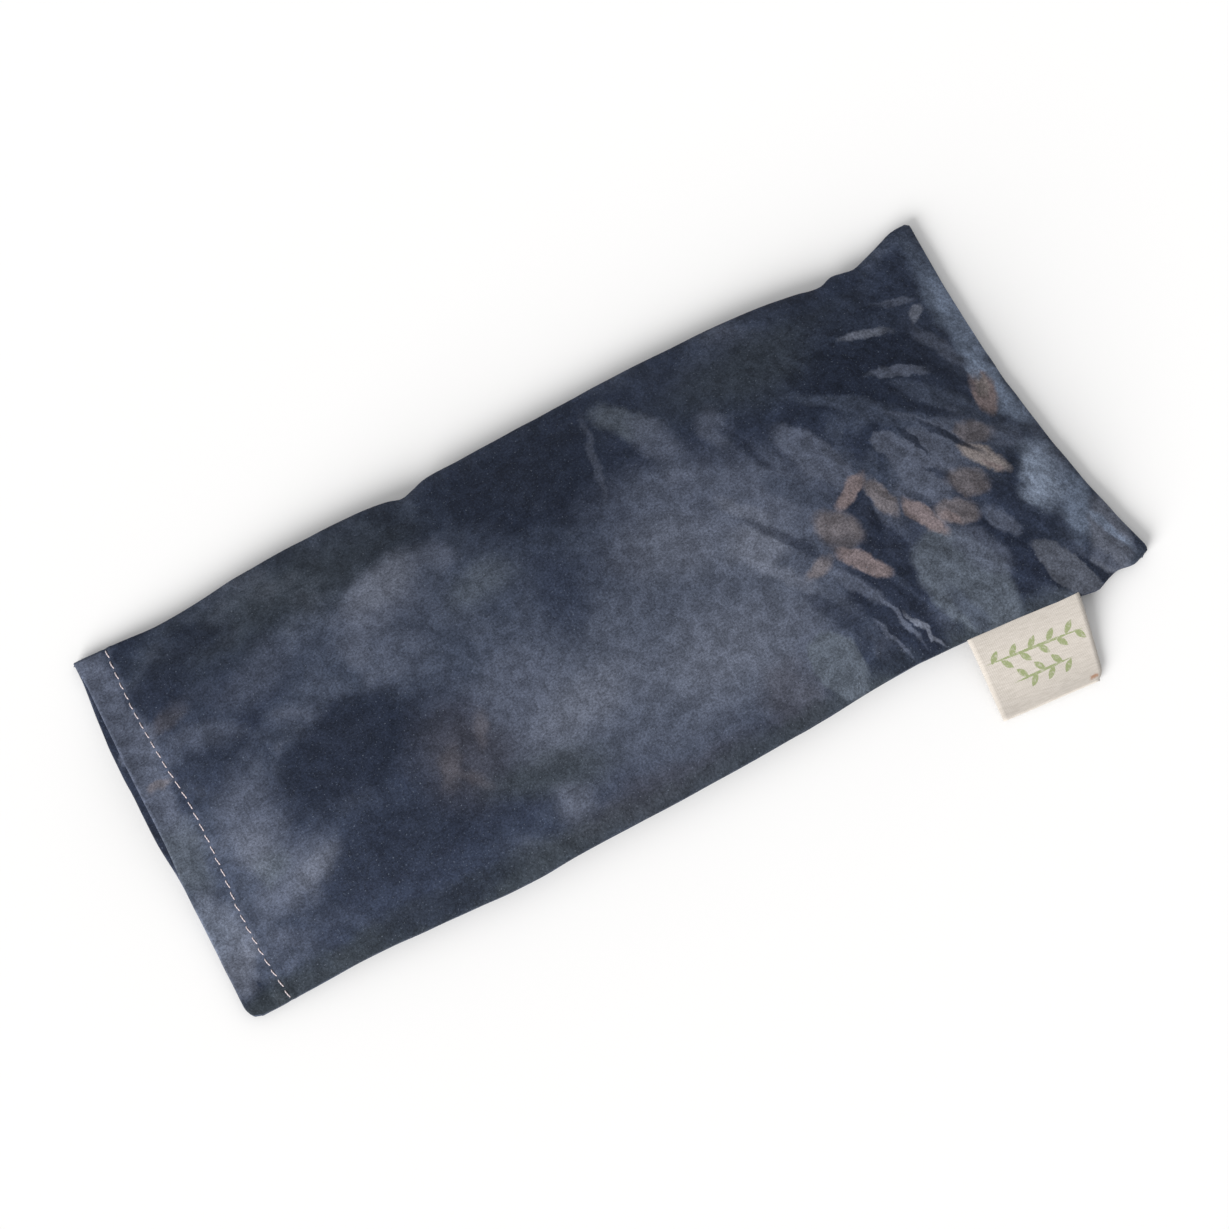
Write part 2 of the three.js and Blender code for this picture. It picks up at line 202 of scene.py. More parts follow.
class Sheet:
    """A smooth surface through an even grid of points. `side` is 1 if its outside faces up, -1 if down."""

    def __init__(self, grid, side):
        self.grid = grid
        self.side = side

    def weights(self, us, ts):
        rows, columns = self.grid.shape[:2]
        return cubic_weights(rows, us), cubic_weights(columns, (np.asarray(ts, float) + 1) / 2)

    def at(self, us, ts):
        """Points over every pair of a u and a t."""
        rows, columns = self.weights(us, ts)
        return np.einsum("ai,ijk,bj->abk", rows, self.grid, columns)

    def scatter(self, us, ts):
        """Points at matching lists of u and t."""
        rows, columns = self.weights(us, ts)
        return np.einsum("ni,ijk,nj->nk", rows, self.grid, columns)

    def normals(self, us, ts, matching=False):
        """Unit vectors pointing out of the cover, or out of the pouch: over every pair of a u and a t, or at
        matching lists of them."""
        points = self.scatter if matching else self.at
        step = 0.004
        us, ts = np.asarray(us, float), np.asarray(ts, float)
        along = points(np.minimum(us + step, 1), ts) - points(np.maximum(us - step, 0), ts)
        across = points(us, np.minimum(ts + step, 1)) - points(us, np.maximum(ts - step, -1))
        return normalised(np.cross(along, across)) * self.side

    def under(self, x, y):
        """The (u, t) of the places that lie above or below the points (x, y), and those places."""
        low, high = self.grid.reshape(-1, 3).min(0), self.grid.reshape(-1, 3).max(0)
        size = high - low
        u = (x - low[0]) / size[0]
        t = (y - (low[1] + high[1]) / 2) * 2 / size[1]
        for _ in range(6):
            found = self.scatter(np.clip(u, 0, 1), np.clip(t, -1, 1))
            u = np.clip(u + (x - found[:, 0]) / size[0], 0, 1)
            t = np.clip(t + (y - found[:, 1]) * 2 / size[1], -1, 1)
        return u, t, self.scatter(u, t)


# ---- cloth simulation ----
SIM_SCALE = 10.0  # Blender's cloth works better on something some metres long
SIM_FRAMES = 45
CLOTH = {"quality": 6, "mass": 0.15, "air_damping": 2, "tension_stiffness": 40, "compression_stiffness": 20,
         "shear_stiffness": 15, "tension_damping": 20, "compression_damping": 20, "shear_damping": 20}


def sleeve_mesh(upper, lower, mouth_open):
    """Two sheets that share their seams: the sides, the far end, and the near end unless it is the open
    mouth. Returns the points, the faces, and the index of each grid point of either sheet."""
    rows, columns = upper.shape[:2]
    upper_index = np.arange(rows * columns).reshape(rows, columns)
    lower_index = upper_index.copy()
    free = np.zeros((rows, columns), bool)
    free[0 if mouth_open else 1:-1, 1:-1] = True
    lower_index[free] = rows * columns + np.arange(free.sum())
    points = np.concatenate([upper.reshape(-1, 3), lower[free]])
    return points, grid_faces(upper_index, 1) + grid_faces(lower_index, -1), upper_index, lower_index


def simulate_sleeve(name, start, flat, mouth_open, filled, pressure, bending):
    """Sews two flat sheets together, starts them from the `start` shapes with their seams held, and lets the
    pressure of the filling settle them on the table. `filled` is how full the sleeve is at each point."""
    points, faces, upper_index, lower_index = sleeve_mesh(*start, mouth_open)
    flat_points = sleeve_mesh(flat, flat, mouth_open)[0]
    mesh = bpy.data.meshes.new(name)
    mesh.from_pydata((points * SIM_SCALE).tolist(), [], faces)
    cloth = add_object(name, mesh)
    table = add_plane(name + "_table", 4)
    table.modifiers.new("collision", "COLLISION")
    cloth.shape_key_add(name="start")
    cut = cloth.shape_key_add(name="cut")
    cut.data.foreach_set("co", (flat_points * SIM_SCALE).ravel())

    held = cloth.vertex_groups.new(name="held")
    sides = upper_index[:, [0, -1]].ravel()
    rim = np.concatenate([sides, upper_index[-1], upper_index[0], lower_index[0]])
    held.add(np.unique(rim).tolist(), 1.0, "REPLACE")
    full = cloth.vertex_groups.new(name="full")
    for index in (upper_index, lower_index):
        for point, share in zip(index.ravel().tolist(), filled.ravel().tolist()):
            full.add([point], share, "REPLACE")

    modifier = cloth.modifiers.new("cloth", "CLOTH")
    settings = modifier.settings
    for key, value in CLOTH.items():
        setattr(settings, key, value)
    settings.bending_stiffness = bending
    settings.vertex_group_mass = "held"
    settings.use_pressure = True
    settings.uniform_pressure_force = pressure
    settings.vertex_group_pressure = "full"
    settings.rest_shape_key = cut
    settings.effector_weights.gravity = 0.2
    modifier.collision_settings.distance_min = 3 * MM
    scene = bpy.context.scene
    for number in range(1, SIM_FRAMES + 1):
        scene.frame_set(number)
    settled = cloth.evaluated_get(bpy.context.evaluated_depsgraph_get()).to_mesh()
    result = np.empty(len(points) * 3, np.float32)
    settled.vertices.foreach_get("co", result)
    result = result.reshape(-1, 3).astype(float) / SIM_SCALE
    scene.frame_set(1)
    for item in (cloth, table):
        data = item.data
        bpy.data.objects.remove(item)
        bpy.data.meshes.remove(data)
    return result[upper_index], result[lower_index]


# ---- the cover ----
COVER_SIZE = (END_X - COVER_LOW.x, 2 * COVER_HIGH.y)


def end_x(t):
    return END_X - END_SKEW * t - END_DIP * (1 - t * t)


def mouth_x(t, upper):
    """The upper lip lies behind the lower one over the left half, and level with it over the right."""
    if upper:
        behind = 0.75 * smoothstep(t, -0.35, 0.0) - 0.5 * smoothstep(t, 0.85, 1.0)
    else:
        behind = 1.45 * smoothstep(t, 0.5, 1.0) - 1.2 * smoothstep(t, -0.3, 0.05)
    return COVER_LOW.x + (1.45 + behind) * MM


def plan(u, t, upper):
    """Where the cloth's grid lies, seen from above."""
    near = mouth_x(t, upper)
    x = near + (end_x(t) - near) * u
    left = curve_through(LEFT_EDGE, x / MM) * MM
    right = curve_through(RIGHT_EDGE, x / MM) * MM
    return x, ((t + 1) / 2 * (left + right) - right) * WIDTH_SCALE


def cover_fullness(x, t):
    """How much the pouch fills the cover: 1 over its middle, and 0 at the mouth and at the sewn end."""
    middle = (POUCH_LOW.x + POUCH_HIGH.x) / 2
    reach = np.where(x < middle, middle - (COVER_LOW.x + 8 * MM), end_x(t) - middle)
    return hump((x - middle) / reach, 4)


def lip_gape(x, t):
    """How far the upper lip stands off the lower one."""
    open_at = 0.35 * (1 - t * t) + 0.7 * bump(t, 0.28, 0.42) * (1 - t ** 6)
    return 6.2 * MM * open_at * (1 - smoothstep(x, COVER_LOW.x, COVER_LOW.x + 45 * MM))


GRID = (76, 32)
CUT_STRETCH = (1.022, 1.055)  # the flat cloth is this much longer and wider than the filled cover's outline


def cover_sheets():
    u = np.linspace(0, 1, GRID[0] + 1)[:, None]
    t = np.linspace(-1, 1, GRID[1] + 1)[None, :] + 0 * u
    start = []
    for upper in (True, False):
        x, y = plan(u, t, upper)
        full = cover_fullness(x, t)
        seam = SEAM_REST_Z + SEAM_LIFT * full
        if upper:
            z = seam + lip_gape(x, t) + (COVER_TOP - SEAM_LIFT - SEAM_REST_Z) * 0.8 * full * hump(t, 2.4)
        else:
            z = 0.6 * MM + (seam - 0.6 * MM) * np.clip((np.abs(t) - 0.5) / 0.5, 0, 1) ** 2
        start.append(np.stack([x, y, z], -1))
    flat = start[0] * np.array([*CUT_STRETCH, 0])
    filled = np.clip(1.5 * full, 0, 1)
    start = simulate_sleeve("cover", start, flat, True, filled, 3.0, 0.3)
    upper, lower = start
    seam = upper[:, -1:, 2] * (t + 1) / 2 + upper[:, :1, 2] * (1 - t) / 2
    crown = (COVER_TOP - 0.2 * MM - seam.max()) / (upper[..., 2] - seam).max()
    upper = upper.copy()
    upper[..., 2] = seam + (upper[..., 2] - seam) * crown
    lower = lower - np.array([0, 0, lower[..., 2].min() - 0.1 * MM])
    lower[:, 0, 2] = upper[:, 0, 2]
    lower[:, -1, 2] = upper[:, -1, 2]
    lower[-1, :, 2] = upper[-1, :, 2]
    return Sheet(upper, 1), Sheet(lower, -1)


LIP_RADIUS = 0.7 * MM  # each panel's edge rolls over by this much into its seam
ROLL_START = math.radians(40)
ROLL_HEIGHT = LIP_RADIUS * (1 + math.sin(ROLL_START))
ROLL_REACH = 4.5 * MM
ROLL_STEPS = 5


def edge_lift(u, t, size, closed_mouth=False):
    """How much of ROLL_HEIGHT a panel stands off its seam's plane: 1 along the seams, 0 inside."""
    from_side, from_end = (1 - np.abs(t)) * size[1] / 2, (1 - u) * size[0]
    share = np.maximum(bump(from_side, 0, ROLL_REACH), bump(from_end, 0, ROLL_REACH))
    if closed_mouth:
        share = np.maximum(share, bump(u * size[0], 0, ROLL_REACH))
    return share


def roll(progress):
    """How far outwards, and off the seam's plane, an edge has rolled. Progress is 0 on the panel, 1 in the
    seam."""
    angle = ROLL_START - (ROLL_START + math.pi / 2) * progress
    outward = LIP_RADIUS * (np.cos(angle) - math.cos(ROLL_START))
    return outward, LIP_RADIUS * (np.sin(angle) - math.sin(ROLL_START))


def joined(grid, strip, direction, axis):
    """A grid with a strip added after its last row or column, or, turned round, before its first."""
    return np.concatenate([np.flip(strip, axis), grid] if direction < 0 else [grid, strip], axis)


def rolled_edges(points, uvs, side, scale=1.0, amount=1.0, near_end=False):
    """A panel's grid with rolled edges added to both sides, to the far end and, if asked, to the near end.
    The rolls are `scale` of LIP_RADIUS. `amount` is 1 for each row whose sides roll, 0 where they don't."""
    progress = np.linspace(0, 1, ROLL_STEPS + 1)[1:]
    outward, off = roll(progress)
    amount = np.broadcast_to(amount, len(points))[:, None]
    uv_steps = progress * LIP_RADIUS * 2
    ends = ((0, -1), (-1, 1))
    for edge, direction in ends:
        strip = np.repeat(points[:, edge][:, None], ROLL_STEPS, 1)
        strip[..., 1] += direction * (outward * scale * amount + (1 - amount) * 0.1 * MM * progress)
        strip[..., 2] += side * scale * off * amount
        strip_uv = np.repeat(uvs[:, edge][:, None], ROLL_STEPS, 1)
        strip_uv[..., 1] += direction * uv_steps
        points, uvs = joined(points, strip, direction, 1), joined(uvs, strip_uv, direction, 1)
    across = np.concatenate([progress[::-1], np.zeros(points.shape[1] - 2 * ROLL_STEPS), progress])
    deeper = np.maximum(progress[:, None], across)
    for edge, direction in ends if near_end else ends[1:]:
        strip = np.repeat(points[edge][None], ROLL_STEPS, 0)
        strip[..., 0] += direction * scale * outward[:, None]
        strip[..., 2] += side * scale * (roll(deeper)[1] - roll(across)[1])
        strip_uv = uvs[edge] + np.array([direction, 0]) * uv_steps[:, None, None]
        points, uvs = joined(points, strip, direction, 0), joined(uvs, strip_uv, direction, 0)
    return points, uvs


def mesh_object(name, points, faces, uvs=None):
    """A smooth mesh. `uvs` are the flat cloth's own coordinates at each point."""
    mesh = bpy.data.meshes.new(name)
    mesh.from_pydata(points.tolist(), [], faces)
    if uvs is not None:
        corners = np.concatenate([np.asarray(face) for face in faces])
        mesh.uv_layers.new(name="cloth").data.foreach_set("uv", uvs[corners].ravel())
    mesh.shade_smooth()
    return add_object(name, mesh)


def grid_object(name, points, uvs, side, thickness):
    """A smooth mesh through a grid of points, thickened inwards."""
    rows, columns = points.shape[:2]
    index = np.arange(rows * columns).reshape(rows, columns)
    item = mesh_object(name, points.reshape(-1, 3), grid_faces(index, side), uvs.reshape(-1, 2))
    thin = item.data
    solid = item.modifiers.new("thickness", "SOLIDIFY")
    solid.thickness = thickness
    solid.offset = -1
    item.data = bpy.data.meshes.new_from_object(item.evaluated_get(bpy.context.evaluated_depsgraph_get()))
    item.modifiers.clear()
    bpy.data.meshes.remove(thin)
    return item


# Where the hem's stitching runs: (Y, how far behind the lip's line), from the right seam to the left, in mm.
HEM_STITCH_LINE = [(-50, 12.0), (-34, 10.6), (-25, 10.4), (-14, 11.3), (3, 11.5), (17, 10.2), (31, 9.4),
                   (50, 9.8)]


def stitch_x(y):
    return COVER_LOW.x + curve_through(HEM_STITCH_LINE, y / MM) * MM


def hem_relief(points, outer):
    """How far the hem's cloth stands off its sheet: out by the layer behind it, in at the stitches."""
    x, y = points[..., 0], points[..., 1]
    from_stitch = x - stitch_x(y)
    layers = 0.35 * MM * (1 - smoothstep(from_stitch, 0.6 * MM, 2.2 * MM)) if outer else 0
    dimple = 0.75 + 0.25 * np.cos(2 * math.pi * y / STITCH_PITCH)
    wave = np.sin(2 * math.pi * (y / STITCH_PITCH / 2 + from_stitch / (9 * MM)))
    drag = 0.12 * MM * wave * bump(from_stitch, -2.5 * MM, 3 * MM)
    return layers - 0.42 * MM * dimple * bump(from_stitch, 0, 0.9 * MM) + drag


def quarter_round(amount):
    return 1 - np.sqrt(1 - np.clip(amount, 0, 1) ** 2)


def round_corner(points, t):
    """Draws the mouth's right-hand corner, and both corners of the sewn end, back into curves."""
    x = points[..., 0]
    near_mouth = 1 - smoothstep(x, COVER_LOW.x, COVER_LOW.x + 9 * MM)
    near_end = smoothstep(x, end_x(t) - 8 * MM, end_x(t))
    points[..., 0] += MM * (3.0 * quarter_round((-t - 0.925) / 0.075) * near_mouth
                            - 2.4 * quarter_round((-t - 0.94) / 0.06) * near_end
                            - 1.0 * quarter_round((t - 0.97) / 0.03) * near_end)
    return points


# Creases that run in from the sewn end, and a few at the seams and the mouth: from (x, y) to (x, y), how
# wide, and how high if they stand up or how deep if they are below 0, in mm.
CREASES = [
    ((78, 31), (113, 44), 1.8, 0.45), ((84, 19), (116, 30), 1.6, -0.35), ((92, 38), (112, 47), 1.5, 0.4),
    ((96, 8), (117, 12), 2.0, 0.35), ((74, 42), (100, 45), 1.6, -0.35), ((98, -6), (121, -14), 1.6, -0.3),
    ((86, -30), (124, -43), 2.2, 0.45), ((78, -38), (112, -46), 1.8, -0.4),
    ((100, -22), (125, -34), 1.6, 0.35), ((-36, 36), (-29, 49), 2.2, -0.4),
    ((-24, 38), (-27, 49), 2.2, 0.35), ((-112, 30), (-96, 38), 2.4, 0.3),
    ((-110, -34), (-92, -42), 2.4, -0.3), ((58, -40), (66, -47), 2.2, -0.4),
    ((28, -42), (34, -48), 2.2, 0.35),
]


def creases(points, us, ts, seed):
    """How far the cloth stands off its smooth shape: the filling's dents, the seams' puckers, and creases."""
    x, y = points[..., 0] / MM, points[..., 1] / MM
    from_side = (1 - np.abs(ts))[None, :] * 49
    inside = 1 - bump(from_side, 0, 2.5)
    dents = 0.22 * soft_noise(us, ts, (16, 7), seed) + 0.10 * soft_noise(us, ts, (54, 22), seed + 1)
    height = dents * inside
    puckers = soft_noise(us, np.array([-1.0, 1.0]), (44, 1), seed + 2)
    height += 0.3 * bump(from_side, 4.5, 4.0) * np.where(ts[None, :] > 0, puckers[:, 1:], puckers[:, :1])
    for (x0, y0), (x1, y1), width, rise in CREASES:
        length = math.hypot(x1 - x0, y1 - y0)
        along = ((x - x0) * (x1 - x0) + (y - y0) * (y1 - y0)) / length ** 2
        off = ((x - x0) * (y1 - y0) - (y - y0) * (x1 - x0)) / length
        height += rise * bump(off, 0, width * (0.7 + 0.6 * np.clip(along, 0, 1))) * bump(along, 0.62, 0.36)
    return height * MM


def hem_rows():
    """u of the panel's rows: close together over the hem, further apart behind it."""
    near = np.arange(0, 15, 0.5) * MM / COVER_SIZE[0]
    return np.concatenate([near, np.linspace(near[-1], 1, 190)[1:]])


def panel_points(sheet, us, ts):
    """A cover panel's outside between its seams: (points, unit vectors pointing off it)."""
    points = sheet.at(us, ts)
    points[..., 2] += sheet.side * ROLL_HEIGHT * edge_lift(us[:, None], ts[None], COVER_SIZE)
    normals = sheet.normals(us, ts)
    relief = hem_relief(points, True) + creases(points, us, ts, 41 if sheet.side > 0 else 51)
    return round_corner(points + normals * relief[..., None], ts), normals


HEM_NARROWING = 0.985  # the turned-in layer is this much of the panel's width
FOLD_ANGLES = np.radians([-80, -50, -20, 15, 50])  # how far round the fold its rows lie, from the inside


def turned_in_hem(sheet, us, ts, points, normals):
    """The hem's layer inside the cover, from its raw edge out, and then the rows of the fold at the lip, with
    how far past the lip each row lies on the flat cloth. `points` and `normals` are the panel's own."""
    inner_us = us[us.searchsorted(HEM_DEPTH / COVER_SIZE[0]):0:-1]
    inner_ts = ts * HEM_NARROWING
    under = sheet.at(inner_us, inner_ts)
    gap = 2 * FOLD_RADIUS + hem_relief(under, False)
    inner = round_corner(under - sheet.normals(inner_us, inner_ts) * gap[..., None], inner_ts)
    outwards = normalised(points[0] - points[2])
    angle = FOLD_ANGLES[:, None, None]
    fold = points[0] + FOLD_RADIUS * ((np.sin(angle) - 1) * normals[0] + np.cos(angle) * outwards)
    fold[..., 1] *= np.linspace(HEM_NARROWING, 1, len(fold) + 1)[1:, None]
    past = [inner_us * COVER_SIZE[0] + 3 * FOLD_RADIUS, np.linspace(2.5, 0.5, len(fold)) * FOLD_RADIUS]
    return np.concatenate([inner, fold]), np.concatenate(past)


def cover_panel(name, sheet):
    """One panel of the cover, from the raw edge of its hem to its rolled edges in the seams."""
    us, ts = hem_rows(), np.linspace(-1, 1, 129)
    points, normals = panel_points(sheet, us, ts)
    uvs = np.stack(plan(us[:, None], ts[None, :] + 0 * us[:, None], sheet.side > 0), -1)
    hem, past = turned_in_hem(sheet, us, ts, points, normals)
    points = np.concatenate([hem, points])
    uvs = np.concatenate([uvs[0] - past[:, None, None] * np.array([1, 0]), uvs])
    fold_rows = len(FOLD_ANGLES)
    amount = np.clip((np.arange(len(points)) - len(hem) + fold_rows) / fold_rows, 0, 1)
    points, uvs = rolled_edges(points, uvs, sheet.side, amount=amount)
    if sheet.side < 0:
        points[..., 2] = np.maximum(points[..., 2], 0.02 * MM)
        uvs = uvs * np.array([1, -1]) + np.array([0.31, 0.17])  # the lower panel is cut from another place
    return grid_object(name, points, uvs, sheet.side, SILK_THICKNESS)


upper_sheet, lower_sheet = cover_sheets()


# ---- threads and seam allowances ----
def threads(name, paths, ups, radius, sides=7):
    """Round threads along lists of points, closed at both ends. `ups` point off the cloth."""
    points, faces, uvs = [], [], []
    angles = np.linspace(0, 2 * math.pi, sides, endpoint=False)
    for path, up in zip(paths, ups):
        tangents = normalised(np.gradient(path, axis=0))
        sideways = normalised(np.cross(tangents, up))
        above = np.cross(sideways, tangents)
        across = np.cos(angles)[:, None] * sideways[:, None] + np.sin(angles)[:, None] * above[:, None]
        rings = path[:, None] + radius * across
        first = sum(len(ring) for ring in points)
        points.append(rings.reshape(-1, 3))
        uv = np.broadcast_arrays(lengths_along(path)[:, None], angles * radius)
        uvs.append(np.stack(uv, -1).reshape(-1, 2))
        index = first + np.arange(len(path) * sides).reshape(len(path), sides)
        around = np.roll(index, -1, axis=1)
        quads = np.stack([index[:-1], around[:-1], around[1:], index[1:]], -1).reshape(-1, 4)
        faces += quads.tolist() + [index[0][::-1].tolist(), index[-1].tolist()]
    return mesh_object(name, np.concatenate(points), faces, np.concatenate(uvs))


STITCH_RADIUS = 0.16 * MM
STITCH_GAP = 0.8 * MM
STITCH_SLANT = 0.14 * MM
STITCH_POINTS = 9


def stitch_paths(places, normals):
    """Splits a line of cloth into stitches that each come up out of the cloth and go down into it again."""
    length = lengths_along(places)
    total = length[-1]
    count = int(round(total / STITCH_PITCH))
    paths, ups = [], []
    for number in range(count):
        start = number * total / count + STITCH_GAP / 2
        along = np.linspace(start, start + total / count - STITCH_GAP, STITCH_POINTS)
        place, up = resampled(places, length, along), resampled(normals, length, along)
        share = np.linspace(-1, 1, STITCH_POINTS)
        rise = STITCH_RADIUS * (0.9 - 2.2 * np.abs(share) ** 5)
        slant = normalised(np.cross(up, place[-1] - place[0])) * STITCH_SLANT
        paths.append(place + up * rise[:, None] + slant * share[:, None])
        ups.append(normalised(up))
    return paths, ups


def hem_stitches(name, sheet):
    """The hem's line of stitches, on the outside of the cloth and on the turned-in layer inside."""
    half = 49.2 * MM
    y = np.linspace(-half, half, 400)
    u, t, places = sheet.under(stitch_x(y), y)
    normals = sheet.normals(u, t, matching=True)
    along = np.arange(len(y))
    outside = panel_points(sheet, u, t)[0][along, along]
    inside = places - normals * (2 * FOLD_RADIUS + hem_relief(places, False))[:, None]
    paths, ups = [], []
    for line, away in ((outside, normals), (inside, -normals)):
        more, their_ups = stitch_paths(line, away)
        paths += more
        ups += their_ups
    return threads(name, paths, ups, STITCH_RADIUS)


def ribbon(name, edge, inwards, width, thickness, seed):
    """A seam allowance: a strip of cloth along an edge, lying inside it, with a slightly uneven cut side."""
    steps = np.linspace(0, 1, 6)
    rng = np.random.default_rng(seed)
    uneven = cubic_weights(40, np.linspace(0, 1, len(edge))) @ rng.uniform(-0.35, 0.35, 40) * MM
    reach = steps[None, :] * (width + uneven[:, None])
    points = edge[:, None] + inwards[:, None] * reach[..., None]
    points[..., 2] += thickness / 2
    uvs = np.stack(np.broadcast_arrays(lengths_along(edge)[:, None], steps[None] * width), -1)
    side = 1 if np.cross(edge[1] - edge[0], inwards[0])[2] > 0 else -1
    return grid_object(name, points, uvs, side, thickness)


def seam_threads(name, edge, inwards, depth, width, height):
    """A seam's line of stitches, and the looped overlock thread that binds the allowance's cut side."""
    length = lengths_along(edge)
    up = np.tile([0.0, 0.0, 1.0], (len(edge), 1))
    paths, ups = stitch_paths(edge + inwards * depth + up * height, up)
    loops = int(length[-1] / (1.6 * MM))
    at = np.linspace(0, length[-1], loops * 2 + 1)
    reach = np.where(np.arange(len(at)) % 2, width + 0.3 * MM, width - 2.2 * MM)
    loop = resampled(edge, length, at) + resampled(inwards, length, at) * reach[:, None] + up[0] * height
    fine = cubic_weights(len(loop), np.linspace(0, 1, len(loop) * 3)) @ loop
    return threads(name, paths + [fine], ups + [up[0]], 0.11 * MM, sides=5)


def seam_line(sheet, us, ts, inset):
    """A seam's points, this far inside the sheet's edge, and the level directions that lead on inwards.
    `ts` is one number along a side seam, and `us` is one along an end seam."""
    edge = sheet.at(np.atleast_1d(us), np.atleast_1d(ts)).reshape(-1, 3)
    direction = [1.0 - 2.0 * us, 0.0, 0.0] if np.ndim(us) == 0 else [0.0, -float(ts), 0.0]
    inwards = np.tile(direction, (len(edge), 1))
    return edge + inwards * inset, inwards


# ---- cover pieces ----
cover_upper = cover_panel("silk_upper_panel", upper_sheet)
cover_lower = cover_panel("silk_lower_panel", lower_sheet)
upper_stitches = hem_stitches("upper_hem_stitches", upper_sheet)
lower_stitches = hem_stitches("lower_hem_stitches", lower_sheet)

ALLOWANCE = 5 * MM
ALLOWANCE_THICKNESS = 0.7 * MM
SIDE_PLACES = np.linspace(0.06, 0.955, 220)
END_PLACES = np.linspace(-0.87, 0.87, 110)
COVER_SEAMS = {"left": (SIDE_PLACES, 1), "right": (SIDE_PLACES, -1), "end": (1, END_PLACES)}
cover_seams, cover_seam_threads = {}, {}
for number, (where, places) in enumerate(COVER_SEAMS.items()):
    edge, inwards = seam_line(upper_sheet, *places, LIP_RADIUS * math.cos(ROLL_START))
    cover_seams[where] = ribbon(
        f"silk_{where}_allowance", edge, inwards, ALLOWANCE, ALLOWANCE_THICKNESS, number)
    cover_seam_threads[where] = seam_threads(
        f"{where}_seam_stitches", edge, inwards, 1.2 * MM, ALLOWANCE, ALLOWANCE_THICKNESS / 2 + 0.1 * MM)


# ---- the label ----
HINGE = next(joint for joint in frame["joints"] if joint["name"] == "label_fold")
LABEL_WIDTH = 28.5 * MM  # the tape's own; it looks wider at the seam and narrower at the fold
LABEL_ROOT_WIDTH = 30 * MM
LABEL_TIP_WIDTH = 27 * MM
LABEL_LENGTH = 20.8 * MM
LABEL_SHIFT = -1.5 * MM  # its middle lies this far along the seam from the hinge's own
LABEL_FOLD_RADIUS = 0.5 * MM
LABEL_CORNER = 3.2 * MM
LABEL_TUCK = 1.6 * MM  # how far past its hinge the tape reaches, into the seam
LABEL_TAPE = 0.35 * MM


def make_label():
    """A tape folded in half: out from the seam, round the fold, and back underneath."""
    root = np.array(HINGE["pos_m"])
    across = -np.array(HINGE["axis"])
    out = np.array([across[1], -across[0], 0])
    straight = np.linspace(-LABEL_TUCK, LABEL_LENGTH - LABEL_FOLD_RADIUS, 30)
    turn = np.radians(np.linspace(90, -90, 9))[1:-1]
    path = [(d, 90) for d in straight] + [(straight[-1], math.degrees(a)) for a in turn]
    path += [(d, -90) for d in straight[::-1]]
    q = np.linspace(-0.5, 0.5, 25)
    rows = []
    for distance, angle in path:
        share = np.clip(distance / LABEL_LENGTH, 0, 1)
        width = LABEL_ROOT_WIDTH + (LABEL_TIP_WIDTH - LABEL_ROOT_WIDTH) * share
        lean = 0.9 * MM * share ** 2 - LABEL_SHIFT
        rounding = np.clip((distance - LABEL_LENGTH + LABEL_CORNER) / LABEL_CORNER, 0, 1)
        cut = 2.8 * MM * (1 - math.sqrt(1 - 0.98 * rounding ** 2)) * (q + 0.5)
        drop = (0.9 * MM - root[2]) * smoothstep(distance, -3 * MM, LABEL_LENGTH - 2 * MM)
        curl = 0.5 * MM * share ** 2 * (2 * np.abs(q)) ** 2.5 + 0.25 * MM * share * np.sin(5 * q + 1)
        ease = smoothstep(distance, -LABEL_TUCK, 5 * MM)
        reach = distance + LABEL_FOLD_RADIUS * math.cos(math.radians(angle))
        lift = math.sin(math.radians(angle)) * (0.36 * MM + (LABEL_FOLD_RADIUS - 0.36 * MM) * ease)
        points = root + np.outer(q * width - lean - cut, across) + out * reach
        points[:, 2] += drop + curl + lift
        rows.append(points)
    rows = np.array(rows)
    along = lengths_along(rows[:, len(q) // 2])
    uvs = np.stack(np.broadcast_arrays(q * LABEL_WIDTH, along[:, None]), -1)
    return grid_object("woven_label", rows, uvs, 1, LABEL_TAPE)


label = make_label()

# ---- the pouch ----
POUCH_FLANGE = 4.5 * MM  # the closing end is pressed flat this far in
POUCH_SIZE = (POUCH_HIGH.x - POUCH_LOW.x, POUCH_HIGH.y - POUCH_LOW.y)
POUCH_FLOOR = 0.75 * MM
POUCH_GRID = (60, 28)
POUCH_CUT_STRETCH = (1.03, 1.075)
POUCH_ROLL = 0.7  # its rolled edges are this much of the cover's
CLOSING_LINE = POUCH_FLANGE - 1.2 * MM  # where its topstitching runs


